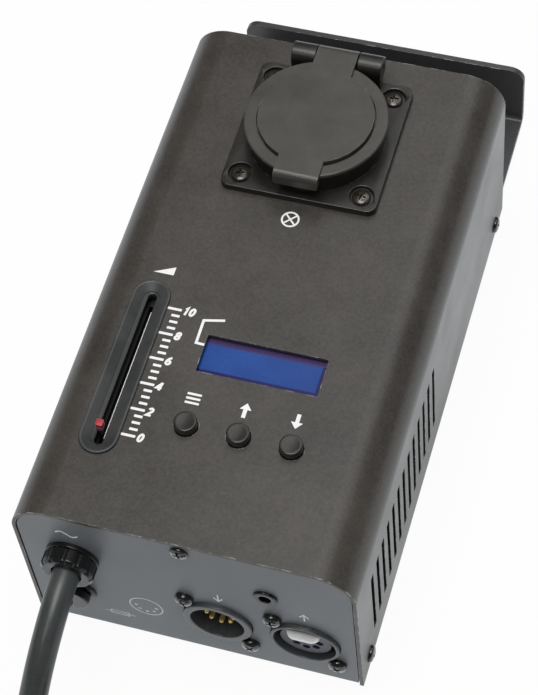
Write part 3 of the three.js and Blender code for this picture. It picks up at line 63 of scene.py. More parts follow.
def makeCamera():
    data = bpy.data.cameras.new("camera")
    data.lens, data.sensor_width, data.clip_start = cameraLook["lens"], 36, 0.01
    camera = newObject("camera", data)
    camera.location = cameraLook["place"]
    camera.rotation_euler = [math.radians(a) for a in cameraLook["turn"]]
    bpy.context.scene.camera = camera


makeCamera()


# Quads between the neighbouring points of a grid of rows and columns
def gridFaces(rows, columns, wrapRows=False, wrapColumns=False):
    i = np.arange(rows if wrapRows else rows - 1)
    j = np.arange(columns if wrapColumns else columns - 1)
    a, b = [m.ravel() for m in np.meshgrid(i, j, indexing="ij")]
    c, d = (a + 1) % rows, (b + 1) % columns
    return np.stack([a * columns + b, a * columns + d, c * columns + d, c * columns + b], 1).tolist()


# Each corner of a drawn line becomes an arc that touches both of its sides: the arc's centre
# lies on the corner's bisector, and the arc is swung between the two touching points.
def filleted(points, radius, steps=5, closed=True):
    p = np.asarray(points, float)
    before, after = np.roll(p, 1, 0) - p, np.roll(p, -1, 0) - p
    nearA, nearB = np.linalg.norm(before, axis=1), np.linalg.norm(after, axis=1)
    a, b = before / nearA[:, None], after / nearB[:, None]
    half = 0.5 * np.arccos(np.clip((a * b).sum(1), -0.999999, 0.999999))
    reach = np.broadcast_to(radius, half.shape) / np.tan(half)
    reach = np.minimum(reach, 0.49 * np.minimum(nearA, nearB))
    r = np.maximum(reach * np.tan(half), 1e-9)
    way = a + b
    way /= np.maximum(np.linalg.norm(way, axis=1), 1e-9)[:, None]
    centre = p + way * (r / np.sin(half))[:, None]
    u, v = p + a * reach[:, None] - centre, p + b * reach[:, None] - centre
    swing = np.arccos(np.clip((u * v).sum(1) / r**2, -1, 1))
    t = np.linspace(0, 1, steps + 1)[None, :, None]
    w = np.maximum(swing, 1e-6)[:, None, None]
    arc = centre[:, None] + (np.sin((1 - t) * w) * u[:, None] + np.sin(t * w) * v[:, None]) / np.sin(w)
    arc = np.where((swing < 1e-3)[:, None, None], p[:, None], arc)
    if closed:
        return arc.reshape(-1, p.shape[1])
    return np.concatenate([p[:1], arc[1:-1].reshape(-1, p.shape[1]), p[-1:]])


def around(sides):
    return np.linspace(0, 2 * np.pi, sides, endpoint=False)


# A profile of (radius, height) points carried round the z axis: x = r cos a, y = r sin a
def turnedPart(profile, sides=72, closed=False):
    r, h = np.asarray(profile, float).T
    a = around(sides)
    points = np.stack([np.outer(r, np.cos(a)), np.outer(r, np.sin(a)), np.outer(h, np.ones(sides))], 2)
    return points.reshape(-1, 3), gridFaces(len(r), sides, closed, True)


# A core rectangle grown by a radius: in the direction a the outline stands at the core's corner
# plus r (cos a, sin a), and each (radius, height) of the profile makes one ring of it.
def grownPart(core, profile, steps=10, closed=False):
    quarter = np.linspace(0, np.pi / 2, steps + 1)
    a = np.concatenate([quarter + k * np.pi / 2 for k in range(4)])
    sx, sy = np.repeat([1, -1, -1, 1], steps + 1), np.repeat([1, 1, -1, -1], steps + 1)
    r, h = np.asarray(profile, float).T
    x = sx * core[0] + np.outer(r, np.cos(a))
    y = sy * core[1] + np.outer(r, np.sin(a))
    z = np.outer(h, np.ones(len(a)))
    if not closed:
        still = np.zeros((1, len(a)))
        x, y = np.concatenate([still, x, still]), np.concatenate([still, y, still])
        z = np.concatenate([z[:1], z, z[-1:]])
    return np.stack([x, y, z], 2).reshape(-1, 3), gridFaces(len(z), len(a), closed, True)


# Block with rounded edges: the core rectangle is the block less the edge radius all round
def softBlock(x0, x1, y0, y1, z0, z1, edge=0.4):
    q = np.linspace(0, np.pi / 2, 4)
    up = np.stack([edge * np.cos(q), z1 - edge + edge * np.sin(q)], 1)
    down = np.stack([edge * np.cos(q[::-1]), z0 + edge - edge * np.sin(q[::-1])], 1)
    part = grownPart(((x1 - x0) / 2 - edge, (y1 - y0) / 2 - edge), np.concatenate([down, up]), 3)
    return moved(part, ((x0 + x1) / 2, (y0 + y1) / 2, 0))


# A closed outline in (u, v) pushed along w from one depth to the other, with flat ends
def pushedPart(outline, low, high):
    p = np.asarray(outline, float)
    n = len(p)
    points = np.concatenate([np.column_stack([p, np.full(n, w)]) for w in (low, high)])
    return points, gridFaces(2, n, False, True) + [list(range(n))[::-1], list(range(n, 2 * n))]


def moved(part, by):
    return part[0] + np.asarray(by, float), part[1]


# Points in the local axes become points in the pack: axis is where local z goes
def aimed(part, axis, at, spin=0.0):
    z = np.asarray(axis, float) / np.linalg.norm(axis)
    guide = np.array([0, 0, 1.0]) if abs(z[2]) < 0.9 else np.array([0, 1.0, 0])
    x = np.cross(guide, z)
    x /= np.linalg.norm(x)
    y = np.cross(z, x)
    c, s = math.cos(spin), math.sin(spin)
    basis = np.stack([c * x + s * y, c * y - s * x, z])
    return part[0] @ basis + np.asarray(at, float), part[1]


# The radius at each point is drawn in or out by that point's factor
def swelled(part, factor):
    return part[0] * np.stack([factor, factor, np.ones_like(factor)], 1), part[1]


panelFace = 0.3  # the front panel's face, behind the cover's edge


# The front panel's own frame: local z points out of the panel, local y up
def onPanel(part, x=0.0, z=0.0):
    p = part[0]
    return np.stack([p[:, 0] + x, panelFace - p[:, 2], p[:, 1] + z], 1), part[1]


# (u, v, w) points of a section drawn in (y, z) and pushed along x
def acrossX(part):
    return part[0][:, [2, 0, 1]], part[1]


def circleLoop(x, y, r, sides=40):
    a = around(sides)
    return np.stack([x + r * np.cos(a), y + r * np.sin(a)], 1)


def boxLoop(x0, x1, y0, y1, corner=0.0, steps=5):
    loop = [(x0, y0), (x1, y0), (x1, y1), (x0, y1)]
    return filleted(loop, corner, steps) if np.max(corner) > 0 else np.asarray(loop, float)


def longLoop(x, y, width, length, steps=12):
    r = width / 2
    a = np.linspace(0, np.pi, steps + 1)
    run = length / 2 - r
    top = np.stack([x + r * np.cos(a), y + run + r * np.sin(a)], 1)
    return np.concatenate([top, [2 * x, 2 * y] - top])


# Even-odd rule: a point is inside a loop when a ray along +x crosses it an odd number of times
def insideLoop(points, loop):
    a, b = loop, np.roll(loop, -1, 0)
    x, y = points[:, :1], points[:, 1:]
    spans = (a[:, 1] > y) != (b[:, 1] > y)
    rise = np.where(a[:, 1] == b[:, 1], 1.0, b[:, 1] - a[:, 1])
    meet = a[:, 0] + (y - a[:, 1]) * (b[:, 0] - a[:, 0]) / rise
    return (spans & (x < meet)).sum(1) % 2 == 1


# Sheet metal from its flat pattern: the pattern is triangulated between its outline, its holes
# and its fold lines, then shape(points, depth) folds it for both faces, and the edges are closed.
def sheetPart(outline, holes, folds, shape, thickness):
    loops = [np.asarray(outline, float)] + [np.asarray(h, float) for h in holes]
    lines = loops + [np.asarray(f, float) for f in folds]
    edges, start = [], 0
    for k, line in enumerate(lines):
        n = len(line)
        i = np.arange(n if k < len(loops) else n - 1)
        edges += np.stack([start + i, start + (i + 1) % n], 1).tolist()
        start += n
    flat = [Vector(p) for p in np.concatenate(lines).tolist()]
    found = delaunay_2d_cdt(flat, edges, [], 0, 1e-5)
    p = np.array([v[:] for v in found[0]])
    tri = np.array(found[2])
    middle = p[tri].mean(1)
    keep = insideLoop(middle, loops[0])
    for hole in loops[1:]:
        keep &= ~insideLoop(middle, hole)
    tri = tri[keep]
    used, tri = np.unique(tri, return_inverse=True)
    p, tri = p[used], tri.reshape(-1, 3)
    n = len(p)
    sides = np.concatenate([tri[:, [0, 1]], tri[:, [1, 2]], tri[:, [2, 0]]])
    key = np.sort(sides, 1)
    _, first, count = np.unique(key, axis=0, return_index=True, return_counts=True)
    rim = sides[first[count == 1]]
    wall = np.stack([rim[:, 1], rim[:, 0], rim[:, 0] + n, rim[:, 1] + n], 1)
    points = np.concatenate([shape(p, 0.0), shape(p, thickness)])
    return points, tri.tolist() + (tri[:, ::-1] + n).tolist() + wall.tolist()


# A flat sheet whose upper face lies at the given height
def flatSheet(outline, holes, top, thickness):
    level = lambda p, depth: np.column_stack([p, np.full(len(p), top - depth)])
    return sheetPart(outline, holes, [], level, thickness)


def rectangle(r0, r1, h0, h1):
    return [(r0, h0), (r1, h0), (r1, h1), (r0, h1)]


# One round tube along a path: the section stays square to the path, and its own axes are
# carried from point to point without twisting (each turned by the step's change of direction).
def tubePart(path, radius, sides=20):
    p = np.asarray(path, float)
    n = len(p)
    tangent = np.gradient(p, axis=0)
    tangent /= np.linalg.norm(tangent, axis=1)[:, None]
    side = np.zeros_like(p)
    side[0] = np.cross(tangent[0], [0, 0, 1.0] if abs(tangent[0, 2]) < 0.9 else [1.0, 0, 0])
    side[0] /= np.linalg.norm(side[0])
    for i in range(1, n):
        s = side[i - 1] - tangent[i] * (side[i - 1] @ tangent[i])
        side[i] = s / np.linalg.norm(s)
    lift = np.cross(tangent, side)
    a = around(sides)
    r = np.broadcast_to(radius, n)[:, None, None]
    ring = side[:, None] * np.cos(a)[None, :, None] + lift[:, None] * np.sin(a)[None, :, None]
    points = (p[:, None] + r * ring).reshape(-1, 3)
    ends = [list(range(sides))[::-1], list(range((n - 1) * sides, n * sides))]
    return points, gridFaces(n, sides, False, True) + ends


# Centripetal Catmull-Rom curve through points, the same as the route of the solid lead
def smoothPath(points, perSpan=6):
    p = np.asarray(points, float)
    p = np.concatenate([[2 * p[0] - p[1]], p, [2 * p[-1] - p[-2]]])
    p0, p1, p2, p3 = p[:-3, None], p[1:-2, None], p[2:-1, None], p[3:, None]
    step = lambda a, b: np.sqrt(np.linalg.norm(b - a, axis=2, keepdims=True))
    t1 = step(p0, p1)
    t2 = t1 + step(p1, p2)
    t3 = t2 + step(p2, p3)
    t = t1 + (t2 - t1) * np.linspace(0, 1, perSpan, endpoint=False)[None, :, None]
    a1 = (t1 - t) / t1 * p0 + t / t1 * p1
    a2 = (t2 - t) / (t2 - t1) * p1 + (t - t1) / (t2 - t1) * p2
    a3 = (t3 - t) / (t3 - t2) * p2 + (t - t2) / (t3 - t2) * p3
    b1 = (t2 - t) / t2 * a1 + t / t2 * a2
    b2 = (t3 - t) / (t3 - t1) * a2 + (t - t1) / (t3 - t1) * a3
    c = (t2 - t) / (t2 - t1) * b1 + (t - t1) / (t2 - t1) * b2
    return np.concatenate([c.reshape(-1, 3), p[-2:-1]])


# A mesh of its own: the weld merges points within its reach and turns the faces outwards
def meshObject(name, points, faces, weld):
    mesh = bpy.data.meshes.new(name)
    mesh.from_pydata(points.tolist(), [], faces)
    if weld:
        work = bmesh.new()
        work.from_mesh(mesh)
        bmesh.ops.remove_doubles(work, verts=work.verts, dist=weld)
        bmesh.ops.dissolve_degenerate(work, edges=work.edges, dist=1e-7)
        bmesh.ops.recalc_face_normals(work, faces=work.faces)
        work.to_mesh(mesh)
        work.free()
    return newObject(name, mesh)


def applyModifiers(obj):
    bpy.context.view_layer.update()
    shown = obj.evaluated_get(bpy.context.evaluated_depsgraph_get())
    mesh = bpy.data.meshes.new_from_object(shown)
    obj.modifiers.clear()
    old, obj.data = obj.data, mesh
    bpy.data.meshes.remove(old)
    mesh.name = obj.name


edgeLook = {"steps": 2, "bevelFrom": 35.0, "sharpFrom": 38.0}  # steps of an edge, angles in degrees


# Parts are put together as one mesh, given an edge radius and a finish, and set on their body
def makePiece(name, parts, finish, replaces=(), edge=0.0, body="pack", weld=1e-6):
    points, faces, base = [], [], 0
    for p, f in parts:
        points.append(p)
        faces += [[base + k for k in face] for face in f]
        base += len(p)
    obj = meshObject(name, toRow(np.concatenate(points)), faces, weld)
    if edge:
        bevel = obj.modifiers.new("edge", "BEVEL")
        bevel.width, bevel.segments = edge * 0.001, edgeLook["steps"]
        bevel.limit_method, bevel.angle_limit = "ANGLE", math.radians(edgeLook["bevelFrom"])
        applyModifiers(obj)
    obj.data.shade_smooth()
    obj.data.set_sharp_from_angle(angle=math.radians(edgeLook["sharpFrom"]))
    obj.modifiers.new("shading", "WEIGHTED_NORMAL").keep_sharp = True
    obj.data.materials.append(finishes[finish])
    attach(obj, body)
    if replaces:
        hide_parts(*replaces)
    return obj


# A tone from 0 to 255 in the light that Blender counts with
def ink(*tone):
    c = np.array(tone) / 255.0
    return (*np.where(c <= 0.04045, c / 12.92, ((c + 0.055) / 1.055) ** 2.4), 1.0)


# A socket is linked to its input, and anything else becomes the input's own value
def fill(tree, made, inputs):
    for name, value in inputs.items():
        if isinstance(value, bpy.types.NodeSocket):
            tree.links.new(value, made.inputs[name])
        else:
            made.inputs[name].default_value = value
    return made


def addNode(tree, kind, inputs={}, **settings):
    made = tree.nodes.new(kind)
    for name, value in settings.items():
        setattr(made, name, value)
    return fill(tree, made, inputs)


def newMaterial(name):
    material = bpy.data.materials.new(name)
    material.use_nodes = True
    return material, material.node_tree, material.node_tree.nodes["Principled BSDF"]


def newGroup(name, inputs, outputs):
    tree = bpy.data.node_groups.new(name, "ShaderNodeTree")
    for label, value in inputs.items():
        socket = tree.interface.new_socket(label, in_out="INPUT", socket_type="NodeSocketFloat")
        socket.default_value = value
    for label in outputs:
        tree.interface.new_socket(label, in_out="OUTPUT", socket_type="NodeSocketFloat")
    return tree, tree.nodes.new("NodeGroupInput").outputs, tree.nodes.new("NodeGroupOutput").inputs


def mathNode(tree, operation, a, b=0.0, clamp=False):
    return addNode(tree, "ShaderNodeMath", {0: a, 1: b}, operation=operation, use_clamp=clamp).outputs[0]


def times(tree, a, b, clamp=False):
    return mathNode(tree, "MULTIPLY", a, b, clamp)


def plus(tree, a, b, clamp=False):
    return mathNode(tree, "ADD", a, b, clamp)


def minus(tree, a, b, clamp=False):
    return mathNode(tree, "SUBTRACT", a, b, clamp)


def ramped(tree, value, low, high, to0=0.0, to1=1.0):
    return addNode(tree, "ShaderNodeMapRange", {"Value": value, "From Min": low, "From Max": high,
                                                "To Min": to0, "To Max": to1}).outputs[0]


def mixed(tree, factor, a, b):
    return addNode(tree, "ShaderNodeMix", {0: factor, 6: a, 7: b}, data_type="RGBA").outputs[2]


# Where a point lies on its own piece
def ownPlace(tree):
    return addNode(tree, "ShaderNodeTexCoord").outputs["Object"]


def noise(tree, scale, detail, rough, place=None):
    return addNode(tree, "ShaderNodeTexNoise", {"Vector": place or ownPlace(tree), "Scale": scale,
                                                "Detail": detail, "Roughness": rough}).outputs[0]


# Fine surface grain and a slow change of tone
def makeGrainGroup():
    tree, given, out = newGroup("grain", {"Scale": 2000.0, "Tone scale": 40.0}, ["Height", "Tone"])
    tree.links.new(noise(tree, given["Scale"], 3.0, 0.6), out["Height"])
    tree.links.new(ramped(tree, noise(tree, given["Tone scale"], 4.0, 0.55), 0.3, 0.7), out["Tone"])
    return tree


# Rubbed edges: where the rounded normal leaves the true one, broken up by noise
def makeWearGroup():
    tree, given, out = newGroup("edgeWear", {"Amount": 0.5}, ["Mask"])
    rounded = addNode(tree, "ShaderNodeBevel", {"Radius": 0.0005}, samples=4).outputs[0]
    true = addNode(tree, "ShaderNodeNewGeometry").outputs["Normal"]
    dot = addNode(tree, "ShaderNodeVectorMath", {0: rounded, 1: true}, operation="DOT_PRODUCT")
    rubbed = times(tree, ramped(tree, dot.outputs["Value"], 0.995, 0.9),
                   ramped(tree, noise(tree, 260.0, 5.0, 0.7), 0.5, 0.6))
    tree.links.new(times(tree, rubbed, given["Amount"], True), out["Mask"])
    return tree


# Dust that lies on what faces up, in soft patches
def makeDustGroup():
    tree, given, out = newGroup("dust", {"Amount": 0.1}, ["Mask"])
    normal = addNode(tree, "ShaderNodeNewGeometry").outputs["Normal"]
    up = addNode(tree, "ShaderNodeSeparateXYZ", {0: normal}).outputs["Z"]
    lying = times(tree, ramped(tree, up, 0.2, 1.0), ramped(tree, noise(tree, 90.0, 6.0, 0.65), 0.4, 0.75))
    tree.links.new(times(tree, lying, given["Amount"], True), out["Mask"])
    return tree


# Painted shade inside the vents: the walls of the slots are darkened to stand for the shadow in them.
# The mask is 1 where a point lies below the side sheet's outer face by more than the paint's thickness,
# and inside the field of the vents
def makeVentShadeGroup():
    field = {"Face": 0.052, "Front": -0.095, "Rear": -0.01, "Low": 0.0165, "High": 0.0505}
    tree, given, out = newGroup("paintedVentShade", field, ["Mask"])
    x, y, z = addNode(tree, "ShaderNodeSeparateXYZ", {0: ownPlace(tree)}).outputs
    mask = ramped(tree, minus(tree, given["Face"], mathNode(tree, "ABSOLUTE", x)), 0.00012, 0.0003)
    for a, b in ((y, given["Front"]), (given["Rear"], y), (z, given["Low"]), (given["High"], z)):
        mask = times(tree, mask, mathNode(tree, "GREATER_THAN", a, b))
    tree.links.new(mask, out["Mask"])
    return tree


# Drawing lines and hair scratches: noise stretched a hundred times along the piece's x
def makeBrushGroup():
    tree, given, out = newGroup("brushed", {"Scale": 60.0}, ["Lines"])
    drawn = addNode(tree, "ShaderNodeMapping", {"Vector": ownPlace(tree), "Scale": (0.4, 40.0, 40.0)})
    lines = noise(tree, given["Scale"], 4.0, 0.7, drawn.outputs[0])
    tree.links.new(ramped(tree, lines, 0.3, 0.7), out["Lines"])
    return tree


grainGroup, wearGroup, dustGroup = makeGrainGroup(), makeWearGroup(), makeDustGroup()
brushGroup, ventShadeGroup = makeBrushGroup(), makeVentShadeGroup()
dustTone = ink(168, 164, 158)


def placeGroup(tree, group, inputs={}):
    return addNode(tree, "ShaderNodeGroup", inputs, node_tree=group).outputs


# What a finish has when its row says nothing else
usualFinish = dict(speckle=0.35, spread=0.06, strength=0.6, metal=0.0, specular=0.5, coat=0.0,
                   coatRough=0.15, brushed=0, wear=0, dust=0, cuts=None)


def makeFinish(name, dark, light, rough, grainScale, toneScale, depth, own={}):
    look = {**usualFinish, **own}
    material, tree, shader = newMaterial(name)
    height, tone = placeGroup(tree, grainGroup, {"Scale": grainScale, "Tone scale": toneScale})
    fine = ramped(tree, height, 0.35, 0.65)
    blend = addNode(tree, "ShaderNodeMix", {0: look["speckle"], 2: tone, 3: fine})
    colour = mixed(tree, blend.outputs[0], ink(*dark), ink(*light))
    rough = ramped(tree, tone, 0, 1, rough - look["spread"], rough + look["spread"])
    if look["brushed"]:
        lines = placeGroup(tree, brushGroup, {"Scale": look["brushed"]})["Lines"]
        height = plus(tree, times(tree, lines, 0.8), times(tree, height, 0.4))
        rough = plus(tree, rough, times(tree, lines, 0.12))
    if look["wear"]:
        worn = placeGroup(tree, wearGroup, {"Amount": look["wear"]})["Mask"]
        colour = mixed(tree, worn, colour, ink(*look["worn"]))
        rough = minus(tree, rough, times(tree, worn, 0.15), True)
    if look["dust"]:
        lying = placeGroup(tree, dustGroup, {"Amount": look["dust"]})["Mask"]
        colour = mixed(tree, lying, colour, dustTone)
        rough = plus(tree, rough, times(tree, lying, 0.3), True)
    # painted shade: the vent slots' walls take a near-black tone
    if look["cuts"]:
        colour = mixed(tree, placeGroup(tree, ventShadeGroup)["Mask"], colour, ink(*look["cuts"]))
    bump = addNode(tree, "ShaderNodeBump", {"Strength": look["strength"], "Distance": depth * 1e-6,
                                            "Height": height})
    fill(tree, shader, {"Base Color": colour, "Roughness": rough, "Metallic": look["metal"],
                        "Specular IOR Level": look["specular"], "Coat Weight": look["coat"],
                        "Coat Roughness": look["coatRough"], "Normal": bump.outputs[0]})
    return material


# Each row: dark and light tone, roughness, scale of the grain and of the change of tone, depth of
# the grain in micrometres, and what differs from the usual finish
finishLooks = {
    # coverPaint's near-black tone for the vent slots' walls is painted shade
    "coverPaint": ((48, 45, 42), (74, 70, 65), 0.34, 1100, 26, 40, dict(
        strength=0.8, wear=0.9, worn=(206, 202, 194), dust=0.04, speckle=0.5, cuts=(10, 10, 10))),
    "chassisPaint": ((108, 112, 117), (123, 127, 132), 0.42, 1900, 30, 40, dict(
        strength=0.7, wear=0.3, worn=(150, 152, 152))),
    "bracketPaint": ((54, 54, 56), (70, 70, 71), 0.34, 1900, 30, 30, dict(
        strength=0.7, wear=1.0, worn=(170, 170, 168))),
    "lidPlastic": ((56, 54, 50), (74, 71, 66), 0.33, 2600, 60, 20, dict(
        dust=0.06, wear=0.45, worn=(150, 147, 140))),
    "housingPlastic": ((20, 19, 17), (31, 29, 26), 0.3, 2600, 60, 20, dict(
        dust=0.05, wear=0.4, worn=(120, 118, 112))),
    "blackPlastic": ((15, 15, 16), (27, 27, 28), 0.24, 3000, 90, 15, dict(wear=0.3, worn=(92, 92, 92))),
    "bezelPlastic": ((50, 52, 52), (66, 68, 67), 0.4, 3000, 90, 15, dict(dust=0.05)),
    "buttonPlastic": ((26, 25, 23), (36, 34, 31), 0.26, 3000, 120, 6, dict(
        spread=0.03, dust=0.02, coat=0.25)),
    "greyPlastic": ((62, 65, 76), (78, 82, 94), 0.4, 2600, 120, 15),
    "paleCeramic": ((196, 190, 178), (214, 208, 198), 0.5, 1600, 80, 15),
    "blackSteel": ((14, 14, 14), (28, 27, 26), 0.25, 2400, 200, 6, dict(
        metal=0.2, coat=1.0, coatRough=0.06, wear=0.5, worn=(150, 140, 126))),
    "bronzeSteel": ((38, 34, 29), (68, 62, 54), 0.26, 2400, 260, 8, dict(
        metal=0.4, coat=0.6, coatRough=0.08, wear=0.7, worn=(190, 178, 160))),
    "socketSteel": ((70, 72, 75), (94, 96, 98), 0.3, 2400, 160, 10, dict(
        metal=0.3, wear=0.8, worn=(186, 184, 180))),
    "canSteel": ((20, 20, 21), (34, 34, 35), 0.5, 2400, 160, 10, dict(metal=0.4)),
    "brightSteel": ((188, 190, 193), (216, 218, 220), 0.24, 2400, 120, 8, dict(metal=1.0, brushed=60)),
    "springBrass": ((190, 150, 74), (214, 176, 98), 0.28, 2000, 120, 8, dict(metal=1.0, brushed=50)),
    "latchSteel": ((224, 224, 222), (242, 242, 240), 0.3, 2400, 120, 6, dict(metal=0.5)),
    "goldContact": ((240, 204, 112), (250, 224, 150), 0.25, 2000, 300, 5, dict(metal=0.6)),
    "silverContact": ((190, 190, 188), (220, 219, 214), 0.2, 2000, 300, 5, dict(metal=1.0)),
    "footRubber": ((14, 14, 14), (24, 23, 23), 0.8, 1800, 80, 30, dict(dust=0.08, specular=0.3)),
    "leadSheath": ((52, 55, 55), (70, 74, 74), 0.33, 1500, 40, 20, dict(dust=0.05)),
    "redPlastic": ((158, 36, 52), (184, 56, 70), 0.4, 2600, 200, 10),
    "boardGreen": ((34, 80, 50), (48, 102, 62), 0.35, 900, 200, 20),
    "coreGrey": ((92, 92, 94), (126, 124, 122), 0.45, 2000, 120, 20, dict(metal=0.6, brushed=40)),
    "chokeYellow": ((160, 108, 40), (198, 146, 66), 0.45, 1200, 220, 60),
    "whitePrint": ((238, 238, 238), (252, 252, 252), 0.6, 2200, 300, 8),
}
finishes = {name: makeFinish(name, *row) for name, row in finishLooks.items()}

# The display's clear field ends at these lines, and "soft" is the width of the soft edge of its border
# and of the painted shade along its rear line
paneLook = {"front": 58.8, "rear": 67.7, "right": 23.7, "soft": 0.0002,
            "tones": (ink(20, 62, 136), ink(32, 76, 152)), "nearBorder": ink(24, 20, 92),
            "paintedRearShade": ink(70, 56, 100)}


# Blue filter pane. Near border: the larger of the distances past the field's front and right
# lines. Rear band: painted shade of the cover's rear edge on the pane, a purple tone past its rear line.
def makePaneFinish():
    look = paneLook
    material, tree, shader = newMaterial("bluePane")
    height, tone = placeGroup(tree, grainGroup, {"Scale": 900.0, "Tone scale": 60.0})
    colour = mixed(tree, tone, *look["tones"])
    x, y, _ = addNode(tree, "ShaderNodeSeparateXYZ", {0: ownPlace(tree)}).outputs
    right, front, _ = toRow((look["right"], look["front"], 0)).tolist()
    rear = toRow((0, look["rear"], 0)).tolist()[1]
    near = mathNode(tree, "MAXIMUM", minus(tree, front, y), minus(tree, x, right))
    # the front and right border is the display's dark frame; the rear band is painted shade
    for past, frameAndShadeTone in ((near, look["nearBorder"]), (minus(tree, y, rear), look["paintedRearShade"])):
        colour = mixed(tree, ramped(tree, past, 0.0, look["soft"]), colour, frameAndShadeTone)
    fill(tree, shader, {"Base Color": colour, "Specular IOR Level": 0.3,
                        "Roughness": ramped(tree, height, 0.3, 0.7, 0.22, 0.3)})
    return material


def makeGlassFinish():
    material, tree, shader = newMaterial("glassTube")
    tone = placeGroup(tree, grainGroup, {"Scale": 900.0, "Tone scale": 200.0})["Tone"]
    fill(tree, shader, {"Base Color": mixed(tree, tone, ink(214, 222, 220), ink(232, 238, 236)),
                        "Roughness": ramped(tree, tone, 0, 1, 0.03, 0.08), "Transmission Weight": 0.6})
    return material


finishes["bluePane"] = makePaneFinish()
finishes["glassTube"] = makeGlassFinish()
print("finishes made:", len(finishes))

# The solids that stay as they are, with the finish of each
keptNodes = {
    "base_chassis": "chassisPaint", "contact_plate": "paleCeramic", "earth_strap": "springBrass",
    "lid_hinge_pin": "brightSteel", "lid_spring": "brightSteel", "slide_potentiometer": "canSteel",
    "fader_lever": "canSteel", "display_window": "bluePane", "display_module": "blackPlastic",
    "control_board": "boardGreen", "power_board": "boardGreen", "transformer": "coreGrey",
    "choke": "chokeYellow", "heatsink": "brightSteel", "triac": "blackPlastic",
    "gland_locknut": "blackPlastic", "fuse": "glassTube", "out_socket_latch": "latchSteel",
}
for nodeName, finishName in keptNodes.items():
    slots = nodes[nodeName].data.materials
    slots.clear()
    slots.append(finishes[finishName])

leadLook = {
    "radius": 4.25, "glandX": -35.0, "coilMiddle": (13.0, -95.0), "coilRadius": 53.0, "pitch": 9.0,
    "turnsPerLayer": 1.75, "layerRise": 9.1, "dip": 2.0, "low": -0.45, "stepsPerTurn": 48,
    "toCoil": [
        (0, -4.2, 45), (0, -11, 44.6), (-0.1, -18.5, 42.6), (-0.4, -25.5, 39.2), (-0.9, -32, 34.5),
        (-1.5, -38, 28.6), (-2.1, -43.5, 22.3), (-2.7, -49, 16.1), (-3.3, -54.8, 10.5),
        (-3.9, -61.2, 5.8), (-4.4, -68, 2.4), (-4.8, -75.4, 0.3), (-5, -81.5, -0.4), (-5, -86.2, -0.45)],
    "toPlug": [
        (-5, -103.8, 8.65), (-5, -111, 8.4), (-5, -119, 7), (-5, -127, 4.4), (-5, -136, 1.2),
        (-4.1, -144.3, -0.2), (-1.4, -152.1, -0.45), (2.9, -159.2, -0.35), (8.6, -165.1, 0.25),
        (15.5, -169.7, 1.45), (23.2, -172.7, 3.1), (32, -173.9, 5.05)],
}


# The coil turns about its middle with the angle a: the radius shrinks by one pitch a turn on the
# floor, half a turn climbs to the next layer on a cosine, and the radius grows again on top.
def leadPath(look):
    layer, climb = 2 * np.pi * look["turnsPerLayer"], np.pi
    total = 2 * layer + climb
    a = np.linspace(0, total, int(round(look["stepsPerTurn"] * total / (2 * np.pi))) + 1)
    inner = look["coilRadius"] - look["pitch"] * look["turnsPerLayer"]
    share = np.clip((a - layer) / climb, 0, 1)
    down = look["coilRadius"] - look["pitch"] * a / (2 * np.pi)
    back = inner + look["pitch"] * (a - layer - climb) / (2 * np.pi)
    between = inner - look["dip"] * np.sin(np.pi * share)
    r = np.where(a <= layer, down, np.where(a > layer + climb, back, between))
    z = look["low"] + look["layerRise"] * (1 - np.cos(np.pi * share)) / 2
    mx, my = look["coilMiddle"]
    coil = np.stack([mx - r * np.cos(a), my - r * np.sin(a), z], 1)
    shift = np.array([look["glandX"], 0, 0])
    free = smoothPath(np.concatenate([np.array(look["toCoil"]) + shift, coil[:2]]), 8)[:-8]
    tail = smoothPath(np.concatenate([coil[-2:], np.array(look["toPlug"]) + shift]), 8)[8:]
    return np.concatenate([free[:-1], coil, tail[1:]])


def makeLead():
    path = leadPath(leadLook)
    gap = np.linalg.norm(np.diff(path, axis=0), axis=1)
    path = path[np.concatenate([[True], gap > 0.05])]
    length = np.linalg.norm(np.diff(path, axis=0), axis=1).sum()
    lead = makePiece("mains_lead", [tubePart(path, leadLook["radius"], 24)], "leadSheath",
                     ["cord_lead", "cord_coil", "cord_tail"], weld=0)
    print("lead:", round(length), "mm")
    return lead, path, length


lead, leadRoute, leadLength = makeLead()

plugLook = {
    "start": (-2.0, -174.0), "rimRadius": 19.2, "tilt": 12.0, "flareEnd": 41.0, "spin": -math.pi / 2,
    "boot": (24.0, 5.3, 9.0), "ribs": 6, "ribSpan": (3.0, 22.0), "ribDepth": 0.7,
    "flare": [(9, 24), (10.2, 28), (15.36, 35.3), (19.2, 41), (19.2, 54), (0, 54)],
    "flareRound": [0, 2.5, 3, 2.5, 1.2, 0], "grooveHalf": 2.0, "grooveDepth": 2.0,
    "pin": [(0, 53.5), (2.4, 53.5), (2.4, 73), (0, 73)], "pinRound": [0, 0, 1.6, 0], "pinGap": 19.0,
}


